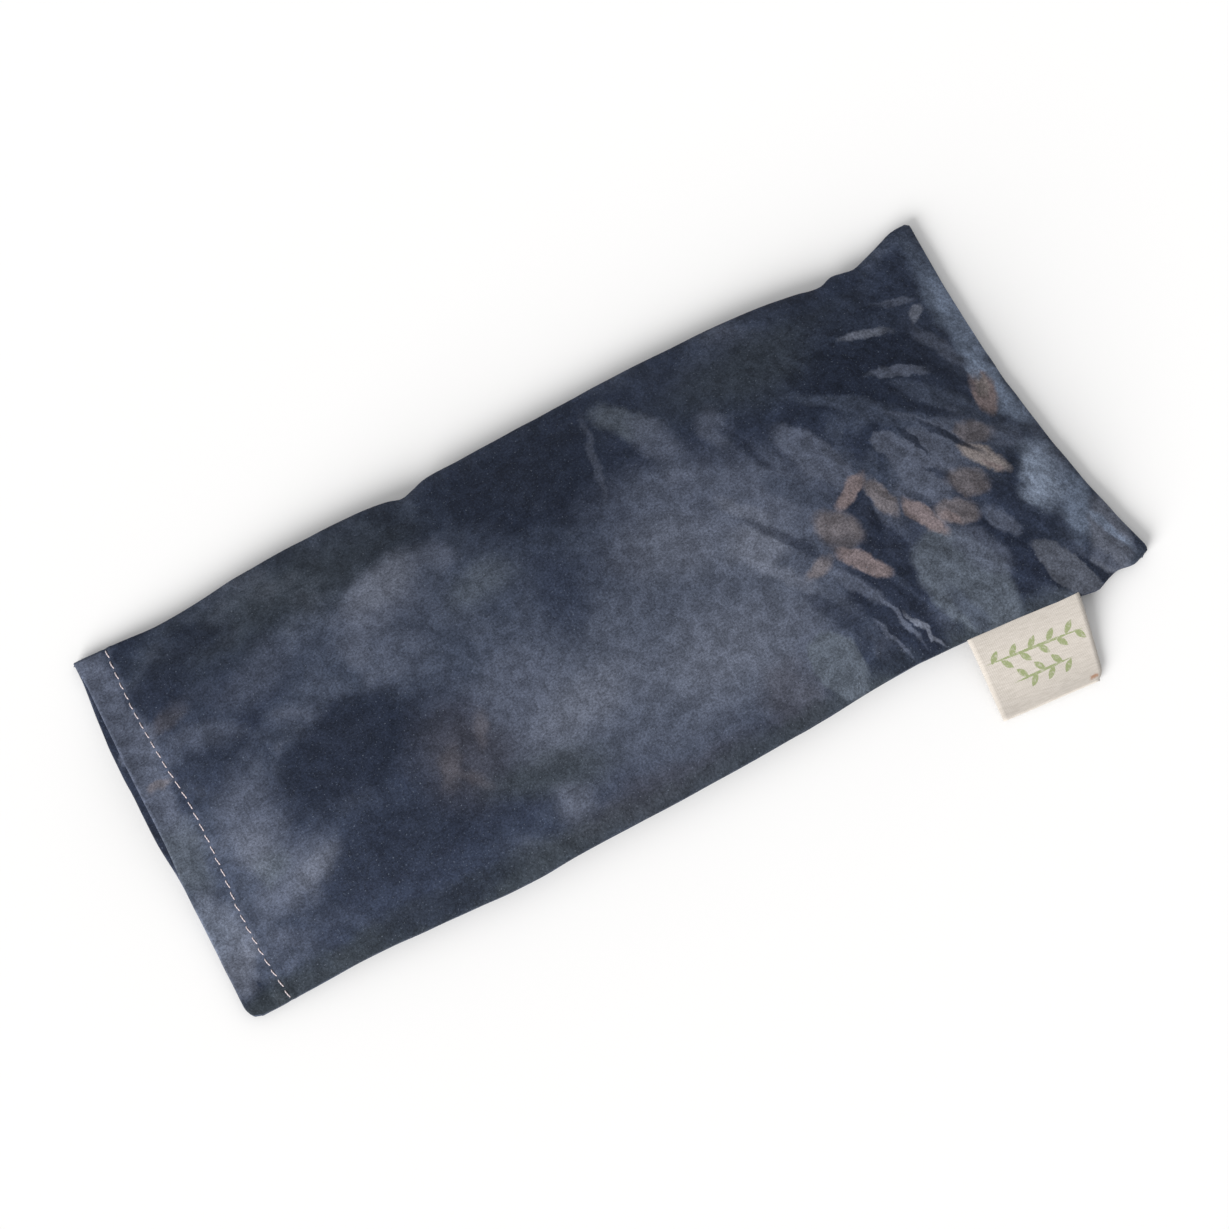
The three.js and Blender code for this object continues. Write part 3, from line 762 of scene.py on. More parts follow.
def pouch_sheets():
    u = np.linspace(0, 1, POUCH_GRID[0] + 1)[:, None]
    t = np.linspace(-1, 1, POUCH_GRID[1] + 1)[None, :] + 0 * u
    s = 2 * u - 1 + 0 * t
    x = POUCH_LOW.x + POUCH_SIZE[0] * u + 1.2 * MM * (1 - t * t) * np.sign(-s) * np.abs(s) ** 6
    y = t * POUCH_SIZE[1] / 2 * (1 - 0.03 * (1 - np.abs(s) ** 8))
    seam = 3.4 * MM + 2.4 * MM * (1 - (s * t) ** 4)
    swell = hump(s, 4) * hump(t, 2.4)
    upper = np.stack([x, y, seam + 12 * MM * swell], -1)
    sag = np.clip((1 - np.abs(s)) * 3, 0, 1) * np.clip((1 - np.abs(t)) * 2.2, 0, 1)
    lower = np.stack([x, y, seam - (seam - POUCH_FLOOR - 0.3 * MM) * sag], -1)
    flat = upper * np.array([*POUCH_CUT_STRETCH, 0])
    filled = np.ones_like(s) * np.clip(3 * (1 - np.abs(s)), 0.05, 1)
    lift = np.array([0, 0, POUCH_FLOOR])
    upper, lower = simulate_sleeve("pouch", (upper - lift, lower - lift), flat, False, filled, 3.2, 0.2)
    upper, lower = upper + lift, lower + lift
    upper = upper.copy()
    crown = (POUCH_HIGH.z - 0.6 * MM - seam.max()) / (upper[..., 2] - seam).max()
    upper[..., 2] = seam + (upper[..., 2] - seam) * crown
    flat_end = smoothstep(u * POUCH_SIZE[0], POUCH_FLANGE - 1 * MM, POUCH_FLANGE + 7 * MM)
    for sheet in (upper, lower):
        sheet[..., 2] = seam + (sheet[..., 2] - seam) * flat_end
    return Sheet(upper, 1), Sheet(lower, -1)


def keep_inside_cover(points, gap):
    """Presses a piece's points down, or up, wherever they would come closer to the cover than the gap."""
    flat = points.reshape(-1, 3)
    ceiling = upper_sheet.under(flat[:, 0], flat[:, 1])[2][:, 2] - gap
    floor = lower_sheet.under(flat[:, 0], flat[:, 1])[2][:, 2] + gap
    flat[:, 2] = np.clip(flat[:, 2], np.minimum(floor, ceiling), ceiling)
    return flat.reshape(points.shape)


def seed_lumps(us, ts, seed):
    """The filling's uneven surface, felt through the cloth: broad dents, and ripples as wide as a seed."""
    broad = soft_noise(us, ts, (14, 7), seed) * 0.35 * MM
    return broad + soft_noise(us, ts, (90, 38), seed + 1) * 0.09 * MM


def pouch_panel(name, sheet, seed):
    us, ts = np.linspace(0, 1, 151), np.linspace(-1, 1, 73)
    points = sheet.at(us, ts)
    normals = sheet.normals(us, ts)
    along, across = us[:, None] * POUCH_SIZE[0], ts[None] * POUCH_SIZE[1] / 2
    from_edge = np.minimum(np.minimum(along, POUCH_SIZE[0] - along), POUCH_SIZE[1] / 2 - np.abs(across))
    relief = seed_lumps(us, ts, seed) * smoothstep(from_edge, 2 * MM, 12 * MM)
    relief -= 0.15 * MM * bump(along, CLOSING_LINE, 0.8 * MM)
    points += normals * relief[..., None]
    lift = edge_lift(us[:, None], ts[None], POUCH_SIZE, closed_mouth=True)
    points[..., 2] += sheet.side * POUCH_ROLL * ROLL_HEIGHT * lift
    points = keep_inside_cover(points, 0.8 * MM)
    uvs = np.stack(np.broadcast_arrays(along, across), -1)
    points, uvs = rolled_edges(points, uvs, sheet.side, scale=POUCH_ROLL, near_end=True)
    return grid_object(name, points, uvs, sheet.side, MUSLIN_THICKNESS)


pouch_top, pouch_base = pouch_sheets()
pouch_upper = pouch_panel("muslin_upper_panel", pouch_top, 11)
pouch_lower = pouch_panel("muslin_lower_panel", pouch_base, 21)

POUCH_ALLOWANCE = 3 * MM
POUCH_SIDE_PLACES, POUCH_END_PLACES = np.linspace(0.05, 0.95, 120), np.linspace(-0.9, 0.9, 60)
POUCH_SEAMS = {"left": (POUCH_SIDE_PLACES, 1), "right": (POUCH_SIDE_PLACES, -1), "far": (1, POUCH_END_PLACES),
               "closing": (0, POUCH_END_PLACES)}
pouch_seams = {}
for number, (where, places) in enumerate(POUCH_SEAMS.items()):
    edge, inwards = seam_line(pouch_top, *places, 0.8 * MM)
    pouch_seams[where] = ribbon(
        f"muslin_{where}_allowance", edge, inwards, POUCH_ALLOWANCE, 0.45 * MM, 30 + number)


def closing_stitches():
    """The topstitching that shuts the end the pouch was filled through, on both its faces."""
    ts = np.linspace(-0.95, 0.95, 300)
    u = CLOSING_LINE / POUCH_SIZE[0]
    paths, ups = [], []
    for sheet in (pouch_top, pouch_base):
        places = sheet.at([u], ts)[0]
        lift = POUCH_ROLL * ROLL_HEIGHT * edge_lift(u, ts, POUCH_SIZE, closed_mouth=True) - 0.12 * MM
        places[:, 2] += sheet.side * lift
        up = np.tile([0.0, 0.0, float(sheet.side)], (len(ts), 1))
        more, their_ups = stitch_paths(places, up)
        paths += more
        ups += their_ups
    return threads("pouch_closing_stitches", paths, ups, STITCH_RADIUS)


pouch_stitches = closing_stitches()


# ---- the filling ----
def mound(lower, upper):
    """A closed lump between two grids of points: (points, faces)."""
    rows, columns = lower.shape[:2]
    below = np.arange(rows * columns).reshape(rows, columns)
    above = below + rows * columns
    faces = grid_faces(above, 1) + grid_faces(below, -1)
    rim = np.concatenate([below[:-1, 0], below[-1, :-1], below[:0:-1, -1], below[0, :0:-1]])
    ahead = np.roll(rim, -1)
    faces += np.stack([rim, ahead, ahead + rows * columns, rim + rows * columns], -1).tolist()
    return np.concatenate([lower.reshape(-1, 3), upper.reshape(-1, 3)]), faces


def grain(length, width, depth, taper):
    """One seed or bud, lying along X: (points, faces) of a closed shape that tapers towards one end."""
    rings, sides = 6, 8
    angles = np.linspace(0, 2 * math.pi, sides, endpoint=False)
    at = -np.cos(np.linspace(0, math.pi, rings + 2))[1:-1]
    points = [np.array([[-length / 2, 0, 0]])]
    for place in at:
        girth = math.sqrt(1 - place * place) * (1 - taper * place)
        points.append(np.stack([np.full(sides, place * length / 2), np.cos(angles) * girth * width / 2,
                                np.sin(angles) * girth * depth / 2], -1))
    points.append(np.array([[length / 2, 0, 0]]))
    faces = []
    for ring in range(rings - 1):
        for k in range(sides):
            a, b = 1 + ring * sides + k, 1 + ring * sides + (k + 1) % sides
            faces.append([a, b, b + sides, a + sides])
    last = 1 + rings * sides
    faces += [[0, 1 + (k + 1) % sides, 1 + k] for k in range(sides)]
    faces += [[last, last - sides + k, last - sides + (k + 1) % sides] for k in range(sides)]
    return np.concatenate(points), faces


def scatter_grains(name, lower, upper, one, count, seed, sink):
    """A lump of filling with whole grains lying all over it, each turned its own way."""
    lump, faces = mound(lower, upper)
    rng = np.random.default_rng(seed)
    shape, shape_faces = one
    points = [lump]
    size = len(lump)
    for grid, side, share in ((upper, 1, 0.6), (lower, -1, 0.4)):
        sheet = Sheet(grid, side)
        number = int(count * share)
        u, t = rng.uniform(0.01, 0.99, number), rng.uniform(-0.98, 0.98, number)
        places, normals = sheet.scatter(u, t), sheet.normals(u, t, matching=True)
        turn, tilt = rng.uniform(0, 2 * math.pi, number), rng.normal(0, 0.25, (number, 3))
        level = normalised(normals + tilt)
        first = normalised(np.cross(level, np.stack([np.cos(turn), np.sin(turn), 0 * turn], -1)))
        second = np.cross(level, first)
        swell = rng.uniform(0.85, 1.15, number)
        for k in range(number):
            axes = np.stack([first[k], second[k], level[k]]) * swell[k]
            points.append(shape @ axes + places[k] - normals[k] * sink)
            faces += [[corner + size for corner in face] for face in shape_faces]
            size += len(shape)
    return mesh_object(name, np.concatenate(points), faces)


def filling(share, bottom, top):
    """Two grids inside the pouch, over the middle `share` of it. Heights go from 0, its base, to 1, its
    crown."""
    us, ts = np.linspace(0.5 - share / 2, 0.5 + share / 2, 40), np.linspace(-share, share, 18)
    low, high = pouch_base.at(us, ts), pouch_top.at(us, ts)
    low[..., 2] += 1.1 * MM
    high[..., 2] -= 1.9 * MM
    high = keep_inside_cover(high, 2.7 * MM)
    high[..., 2] = np.maximum(high[..., 2], low[..., 2] + 0.4 * MM)
    return low + (high - low) * bottom, low + (high - low) * top


SEED = grain(4.6 * MM, 2.3 * MM, 1.0 * MM, 0.35)
BUD = grain(5.0 * MM, 2.0 * MM, 1.8 * MM, -0.3)
SEED_COUNT, BUD_COUNT = 2600, 700
seeds = scatter_grains("flax_seeds", *filling(0.9, 0.0, 0.84), SEED, SEED_COUNT, 5, 0.1 * MM)
buds = scatter_grains("lavender_buds", *filling(0.6, 0.87, 0.98), BUD, BUD_COUNT, 6, 0.3 * MM)


# ---- materials ----
def srgb(*levels):
    """A colour given as screen levels from 0 to 255, as a shader's colour. None of them is under 11."""
    return tuple(((level / 255 + 0.055) / 1.055) ** 2.4 for level in levels) + (1.0,)


class Graph:
    """A short way to write a material's nodes."""

    def __init__(self, tree):
        self.tree = tree

    def node(self, kind, inputs=None, **settings):
        node = self.tree.nodes.new(kind)
        for key, value in settings.items():
            setattr(node, key, value)
        for key, value in (inputs or {}).items():
            if isinstance(value, bpy.types.NodeSocket):
                self.tree.links.new(value, node.inputs[key])
            else:
                node.inputs[key].default_value = value
        return node

    def link(self, value, node, socket):
        self.tree.links.new(value, node.inputs[socket])

    def math(self, operation, a, b=0.0):
        return self.node("ShaderNodeMath", {0: a, 1: b}, operation=operation).outputs[0]

    def vector(self, operation, a, b=(0, 0, 0)):
        return self.node("ShaderNodeVectorMath", {0: a, 1: b}, operation=operation).outputs[0]

    def scaled(self, vector, scale):
        return self.node("ShaderNodeVectorMath", {0: vector, "Scale": scale}, operation="SCALE").outputs[0]

    def length(self, vector):
        return self.node("ShaderNodeVectorMath", {0: vector}, operation="LENGTH").outputs["Value"]

    def parts(self, vector):
        return self.node("ShaderNodeSeparateXYZ", {0: vector}).outputs

    def seen_from(self, vector, centre, turn, size):
        """The place in a patch's own frame: 0 at its centre, 1 at its edges. `turn` is in degrees."""
        return self.node("ShaderNodeMapping", {
            "Vector": vector, "Location": (*centre, 0), "Rotation": (0, 0, math.radians(turn)),
            "Scale": (*size, 1)}, vector_type="TEXTURE").outputs[0]

    def noise(self, vector, scale, detail=4.0, roughness=0.5, distortion=0.0, output="Fac"):
        return self.node("ShaderNodeTexNoise", {
            "Vector": vector, "Scale": scale, "Detail": detail, "Roughness": roughness,
            "Distortion": distortion}).outputs[output]

    def span(self, value, low, high, to_low=0.0, to_high=1.0):
        return self.node("ShaderNodeMapRange", {0: value, 1: low, 2: high, 3: to_low, 4: to_high},
                         interpolation_type="SMOOTHSTEP").outputs[0]

    def mix(self, share, a, b):
        return self.node("ShaderNodeMix", {0: share, 6: a, 7: b}, data_type="RGBA").outputs[2]

    def ramp(self, value, stops):
        node = self.node("ShaderNodeValToRGB", {0: value})
        while len(node.color_ramp.elements) < len(stops):
            node.color_ramp.elements.new(0.5)
        for element, (place, colour) in zip(node.color_ramp.elements, stops):
            element.position = place
            element.color = colour
        return node.outputs[0]

    def weave(self, vector, pitch):
        """Over and under threads of a plain weave: height from 0 to 1. `vector` is in mm, pitch too."""
        parts = self.parts(vector)
        warp, weft = (self.math("SINE", self.math("MULTIPLY", parts[k], 2 * math.pi / pitch)) for k in (0, 1))
        return self.math("ADD", self.math("MULTIPLY", self.math("MULTIPLY", warp, weft), 0.5), 0.5)

    def bump(self, height, strength, distance, normal=None):
        inputs = {"Height": height, "Strength": strength, "Distance": distance}
        if normal is not None:
            inputs["Normal"] = normal
        return self.node("ShaderNodeBump", inputs).outputs[0]


def new_material(name, **values):
    """A material, its nodes and its shader. The values are the shader's own sockets, in lower case."""
    material = bpy.data.materials.new(name)
    material.use_nodes = True
    tree = material.node_tree
    shader = next(n for n in tree.nodes if n.type == "BSDF_PRINCIPLED")
    sockets = {socket.name.lower().replace(" ", "_"): socket for socket in shader.inputs}
    for key, value in values.items():
        sockets[key].default_value = value
    return material, Graph(tree), shader


def cloth_mm(graph):
    """The flat cloth's own coordinates, in mm."""
    return graph.scaled(graph.node("ShaderNodeUVMap", uv_map="cloth").outputs[0], 1 / MM)


NIGHT = srgb(31, 37, 51)
INK = srgb(42, 49, 65)
SLATE = srgb(58, 65, 80)
MIST = srgb(80, 86, 101)
PALE = srgb(95, 100, 113)
# The next colour and GLINT are painted sheen: the bluish light on the sewn end's slope and on the hem, put
# into the cloth's colour.
PAINTED_SHEEN = srgb(114, 126, 146)
STONE = srgb(72, 76, 86)
HAZE = srgb(71, 77, 91)
GLINT = srgb(138, 150, 170)
LEAF_GREY = srgb(78, 85, 95)
# The next colour is dye in the middle of the cover, and painted shade where it lies in bands along the slopes
# of the long edges.
MOSS = srgb(50, 56, 62)
UMBER = srgb(66, 65, 71)
PEACH = srgb(114, 103, 104)
TAN = srgb(101, 96, 99)
BLUSH = srgb(130, 123, 122)

# Soft clouds of dye, with painted sheen and painted shade among them where marked: (x, y) in mm, (half
# length, half width), turn in degrees, softness, strength, colour.
CLOUDS = [
    # grounds, each some third of the cover across; the MOSS bands at (-62, 42) and (70, 38) are painted shade
    # on the left edge's slope
    ((-66, -28), (36, 20), 0, 0.5, 0.85, INK), ((-94, 28), (22, 18), 0, 0.6, 0.65, INK),
    ((-64, 22), (14, 12), 0, 0.8, 0.5, SLATE), ((-16, 12), (24, 16), 0, 0.6, 0.75, SLATE),
    ((-62, 42), (34, 9), 0, 0.8, 0.7, MOSS), ((16, -18), (46, 24), 4, 0.35, 0.85, HAZE),
    ((4, 38), (26, 16), -8, 0.45, 0.9, NIGHT), ((62, 36), (40, 14), 0, 0.5, 0.85, INK),
    ((70, 38), (28, 9), 0, 0.6, 0.6, MOSS), ((40, 10), (26, 13), -20, 0.6, 0.75, MIST),
    ((98, 30), (22, 18), 0, 0.4, 0.8, INK), ((92, -28), (28, 18), -20, 0.5, 0.7, INK),
    # the mouth half; the long MOSS band at (-64, -46) is painted shade on the right-hand edge's slope
    ((-105, -8), (4, 16), 0, 0.6, 0.5, SLATE), ((-94, -6), (8.5, 12), -8, 0.5, 0.75, MIST),
    ((-91, -22), (12, 6), 16, 0.5, 0.85, MIST), ((-95, -16.5), (4, 3.5), 0, 0.6, 0.8, LEAF_GREY),
    ((-86, -22), (6, 3), 15, 0.7, 0.8, PALE), ((-97, -11), (4, 5), 0, 0.7, 0.5, PALE),
    ((-104, 27), (7, 2.4), 15, 0.6, 0.6, UMBER), ((-100, 35), (8, 6), 0, 0.5, 0.75, NIGHT),
    ((-96, 18), (10, 3), -25, 0.7, 0.5, MIST), ((-93, 12), (9, 4), -10, 0.6, 0.6, NIGHT),
    ((-88, 42), (9, 5), 0, 0.6, 0.75, NIGHT), ((-78, 26), (12, 5), 20, 0.8, 0.4, MIST),
    ((-68, -22), (6, 8), 0, 0.6, 0.7, INK), ((-67, -1), (21, 11), 8, 0.3, 0.95, NIGHT),
    ((-60, -26), (24, 9), 0, 0.6, 0.7, NIGHT), ((-38, 4), (10, 8), 0, 0.7, 0.45, SLATE),
    ((-22, 27), (11, 8), 0, 0.6, 0.55, SLATE), ((-44, 29), (11, 7), 22, 0.35, 0.9, MIST),
    ((-41, 32), (10, 5), 15, 0.6, 0.8, PALE), ((-54, 20), (4, 5), 0, 0.5, 0.75, MIST),
    ((-27, 32), (4.5, 3.6), 0, 0.6, 0.8, MIST), ((-20, 20), (8, 5), 10, 0.7, 0.6, LEAF_GREY),
    ((-42, -15), (11, 12), 0, 0.7, 0.45, UMBER), ((-26, -29), (14, 5), -12, 0.6, 0.75, MOSS),
    ((-24, -38), (4, 4), 0, 0.8, 0.5, PALE), ((-14, -18), (14, 7), 10, 0.7, 0.6, PALE),
    ((-64, -46), (56, 4.5), 0, 0.5, 0.85, MOSS), ((-62, -44), (18, 3), 0, 0.6, 0.7, NIGHT),
    ((-4, 10), (5, 13), -8, 0.7, 0.7, INK),
    # the hem; the PALE and bluish patches at (-114, -27) and (-115, -23) are painted sheen, and the MOSS
    # patch at its right-hand corner is painted shade
    ((-114, 26), (6.5, 31), 0, 0.3, 0.9, MIST), ((-114, -5), (6, 9), 0, 0.5, 0.8, LEAF_GREY),
    ((-114, -27), (5.5, 12), 0, 0.35, 0.85, PALE), ((-115, -23), (5, 7), 0, 0.6, 0.25, PAINTED_SHEEN),
    ((-112, -46), (9, 5), 0, 0.5, 0.85, MOSS),
    # the sewn half; the MOSS bands at (60, -47) and (72, -45) are painted shade on the right-hand edge's
    # slope, and the GLINT and pale blue patches on the end's slope are painted sheen
    ((30, 41), (4, 9), 35, 0.35, 0.75, LEAF_GREY), ((34, 33), (4.5, 8), 15, 0.4, 0.75, MIST),
    ((48, 28), (3.4, 5), 10, 0.5, 0.7, MIST), ((24, 6), (14, 7), -20, 0.7, 0.4, PALE),
    ((43, -4), (6.5, 5), -35, 0.5, 0.8, PALE), ((26, -22), (17, 10), 0, 0.7, 0.45, PALE),
    ((35, -39), (7, 9), 0, 0.5, 0.45, UMBER), ((-2, -44), (24, 4), 0, 0.7, 0.35, UMBER),
    ((-24, -8), (10, 9), 0, 0.6, 0.7, MIST), ((60, -47), (70, 4), 0, 0.5, 0.7, MOSS),
    ((72, -45), (22, 5), 0, 0.5, 0.7, MOSS), ((115, -18), (5.5, 8.5), -25, 0.45, 0.8, GLINT),
    ((120, -28), (4, 9), -20, 0.45, 0.75, PAINTED_SHEEN), ((117, 8), (3, 11), 10, 0.5, 0.8, PAINTED_SHEEN),
    ((116.5, 30), (4, 16), 2, 0.6, 0.75, PAINTED_SHEEN), ((123, -39), (5, 11), -18, 0.3, 0.95, PALE),
    ((107, 43), (9, 6), 0, 0.5, 0.7, INK), ((88, 24), (18, 9), -8, 0.4, 0.85, NIGHT),
]

# Leaves and petals pressed into the cloth at the sewn end, with crisper edges, two touches of painted sheen
# on the end's slope, and painted shade inside the mouth; the same six values.
PETALS_PAINTED_SHEEN_AND_SHADE = [
    ((66, 10), (12, 4.5), -64, 0.2, 0.8, MIST), ((58, 4), (9, 3), -50, 0.3, 0.6, SLATE),
    ((69, -11), (11, 3.6), 84, 0.16, 0.8, NIGHT), ((66, -32), (15, 6), -62, 0.25, 0.9, NIGHT),
    ((73.5, -22), (12, 3.4), -78, 0.2, 0.85, NIGHT), ((100, -32), (18, 5), -52, 0.16, 0.85, NIGHT),
    ((113, -44), (13, 3.4), -52, 0.2, 0.9, NIGHT), ((85.5, -33), (15, 9.5), -66, 0.12, 0.85, LEAF_GREY),
    ((92, -28), (9, 4), -60, 0.3, 0.6, MIST), ((83, -40), (7, 2), -70, 0.4, 0.5, SLATE),
    ((48, -37), (8.5, 6), -72, 0.12, 0.9, LEAF_GREY), ((55, -30), (13, 2.2), -58, 0.4, 0.6, NIGHT),
    ((60, -22), (9, 1.6), -55, 0.4, 0.7, MIST), ((104, -20), (12, 2.4), -52, 0.3, 0.85, INK),
    ((87, -4), (10.5, 4.4), -74, 0.1, 0.9, MIST), ((92.5, -1), (8, 3.0), -64, 0.1, 0.95, MIST),
    ((83, 6), (3.4, 3), 0, 0.15, 0.95, MIST), ((89.5, 4), (6, 0.8), -70, 0.3, 0.8, NIGHT),
    ((92, -8), (5, 1.0), -50, 0.4, 0.7, INK), ((69.5, -1.5), (5.2, 1.9), 30, 0.3, 0.9, PEACH),
    ((75.5, -6), (6, 2.4), -75, 0.25, 0.85, TAN), ((62.5, -8.5), (6, 4.2), -50, 0.3, 0.8, TAN),
    ((62, -12), (4, 2.4), -20, 0.4, 0.6, UMBER), ((54, -15), (4, 1.8), 15, 0.4, 0.8, TAN),
    ((64.5, -18.5), (7.5, 2.2), -48, 0.25, 0.85, PEACH), ((83, -15), (6.5, 2.2), -62, 0.25, 0.85, PEACH),
    ((91, -17.5), (5.6, 3.4), -25, 0.25, 0.8, TAN), ((89, -18), (3, 1.4), -50, 0.4, 0.7, PEACH),
    ((97, -12), (5.4, 3.4), -35, 0.3, 0.8, TAN), ((104, -8), (6.5, 2.8), -50, 0.25, 1.0, BLUSH),
    ((105, -11), (3, 1.0), -50, 0.4, 0.7, PEACH), ((105, -1), (5.5, 2.8), -25, 0.3, 0.75, TAN),
    ((113.5, 7.5), (3.6, 6), -15, 0.25, 1.0, PEACH), ((114, 9), (1.8, 3.0), -25, 0.4, 0.8, BLUSH),
    # the pale blue touch at (114, 14) is painted sheen
    ((114, 14), (1.8, 2.8), -20, 0.4, 0.85, PAINTED_SHEEN), ((109.5, -41.5), (11, 3.8), -62, 0.1, 0.95, STONE),
    ((94, 6), (10, 1.2), -46, 0.3, 0.9, MIST), ((98, 1), (10, 1.0), -50, 0.3, 0.8, NIGHT),
    ((96, 20.5), (8, 1.4), -20, 0.3, 0.85, MIST), ((93, 33), (6, 1.2), -12, 0.4, 0.9, PALE),
    ((107.5, 33), (3, 1.4), 40, 0.3, 0.95, PALE), ((104, 38), (5, 1.2), -8, 0.4, 0.8, MIST),
    ((100, 29), (8, 1.3), -14, 0.4, 0.7, NIGHT), ((98, 38), (6, 1.3), -5, 0.4, 0.6, NIGHT),
    ((100, -24), (5, 2.2), -60, 0.3, 0.8, MIST), ((84, 14), (14, 2.2), -42, 0.4, 0.7, SLATE),
    ((92, 13), (16, 1.6), -38, 0.4, 0.8, NIGHT), ((78, 20), (13, 1.6), -32, 0.4, 0.7, SLATE),
    ((100, 12), (10, 2.2), -44, 0.3, 0.7, SLATE), ((106, 16), (9, 1.4), -48, 0.4, 0.7, NIGHT),
    # the pale blue streak at (124.5, -37) is painted sheen
    ((109, 22), (8, 2.2), -60, 0.4, 0.6, MIST), ((124.5, -37), (7, 1.4), -68, 0.4, 0.7, PAINTED_SHEEN),
    ((117, -38), (12, 1.3), -64, 0.5, 0.5, INK), ((66, -42), (9, 5), 0, 0.4, 0.7, NIGHT),
    ((67, -35), (7, 0.7), -70, 0.4, 0.85, MIST), ((71, -39), (6, 0.6), -62, 0.4, 0.85, PALE),
    ((63, -38), (6, 0.6), -66, 0.4, 0.7, MIST), ((44, 6), (7, 2), -50, 0.4, 0.6, PALE),
    ((50, -5), (11, 1.4), -52, 0.4, 0.6, NIGHT), ((45, -12), (8, 2), -50, 0.5, 0.6, PALE),
    ((-47, -17), (5, 2.2), 60, 0.7, 0.25, TAN), ((-36, -12), (4, 1.6), 65, 0.7, 0.25, TAN),
    ((-43, -22), (4, 1.4), -50, 0.7, 0.2, TAN), ((-111, 13), (2.6, 1.2), 0, 0.5, 0.6, TAN),
    ((19, 36), (12, 1.0), 78, 0.5, 0.45, MIST), ((52, 20), (9, 1.2), -70, 0.5, 0.6, NIGHT),
    # painted shade on the lower panel's turned-in hem, which darkens the inside of the mouth where the upper
    # lip stands off
    ((188, 158), (6, 8), 0, 0.4, 1.0, NIGHT), ((188, 142), (6, 9), 0, 0.4, 1.0, NIGHT),
    ((186, 149), (4, 2), 20, 0.4, 0.8, MIST), ((187, 130), (6, 6), 0, 0.4, 0.9, NIGHT),
    ((188, 170), (6, 10), 0, 0.4, 1.0, NIGHT),
]


def dye_and_painted_light_group():
    """One patch of colour, mostly dye and in a few places painted sheen and painted shade: an ellipse with a
    soft edge, laid over the colour underneath.
    """
    group = bpy.data.node_groups.new("dye_patch", "ShaderNodeTree")
    interface = group.interface
    for kind, labels in (("Vector", ("Place", "Centre", "Turn", "Size")), ("Float", ("Soft", "Strength")),
                         ("Color", ("Dye", "Under"))):
        for label in labels:
            interface.new_socket(label, in_out="INPUT", socket_type="NodeSocket" + kind)
    interface.new_socket("Colour", in_out="OUTPUT", socket_type="NodeSocketColor")
    graph = Graph(group)
    given = graph.node("NodeGroupInput").outputs
    # the place hangs on the colour underneath, by next to nothing, so that patches are worked out in turn
    nudge = {0: given["Under"], 1: (1e-7, 1e-7, 1e-7), 2: given["Place"]}
    place = graph.node("ShaderNodeVectorMath", nudge, operation="MULTIPLY_ADD").outputs[0]
    local = graph.node("ShaderNodeMapping", {
        "Vector": place, "Location": given["Centre"], "Rotation": given["Turn"], "Scale": given["Size"]},
        vector_type="TEXTURE").outputs[0]
    distance = graph.length(graph.vector("MULTIPLY", local, (1, 1, 0)))
    inner = graph.math("SUBTRACT", 1.0, given["Soft"])
    outer = graph.math("ADD", 1.0, given["Soft"])
    share = graph.math("MULTIPLY", graph.span(distance, inner, outer, 1.0, 0.0), given["Strength"])
    colour = graph.mix(share, given["Under"], given["Dye"])
    graph.node("NodeGroupOutput", {"Colour": colour})
    return group


def dye_and_painted_light(graph, group, place, under, patches):
    """Patches of dye, with the painted sheen and painted shade among them, one over the other, on the colour
    underneath.
    """
    for centre, size, turn, soft, strength, colour in patches:
        node = graph.node("ShaderNodeGroup", node_tree=group)
        values = {"Centre": (*centre, 0), "Turn": (0, 0, math.radians(turn)), "Size": (*size, 1),
                  "Soft": soft, "Strength": strength, "Dye": colour}
        for key, value in values.items():
            node.inputs[key].default_value = value
        graph.link(place, node, "Place")
        graph.link(under, node, "Under")
        under = node.outputs[0]
    return under


def warped(graph, place, scale, reach, detail=3.0):
    """The place moved about by noise, so that an edge drawn at it wanders."""
    drift = graph.noise(place, scale, detail, 0.6, output="Color")
    centred = graph.vector("SUBTRACT", drift, (0.5, 0.5, 0.5))
    return graph.vector("ADD", place, graph.scaled(centred, reach))


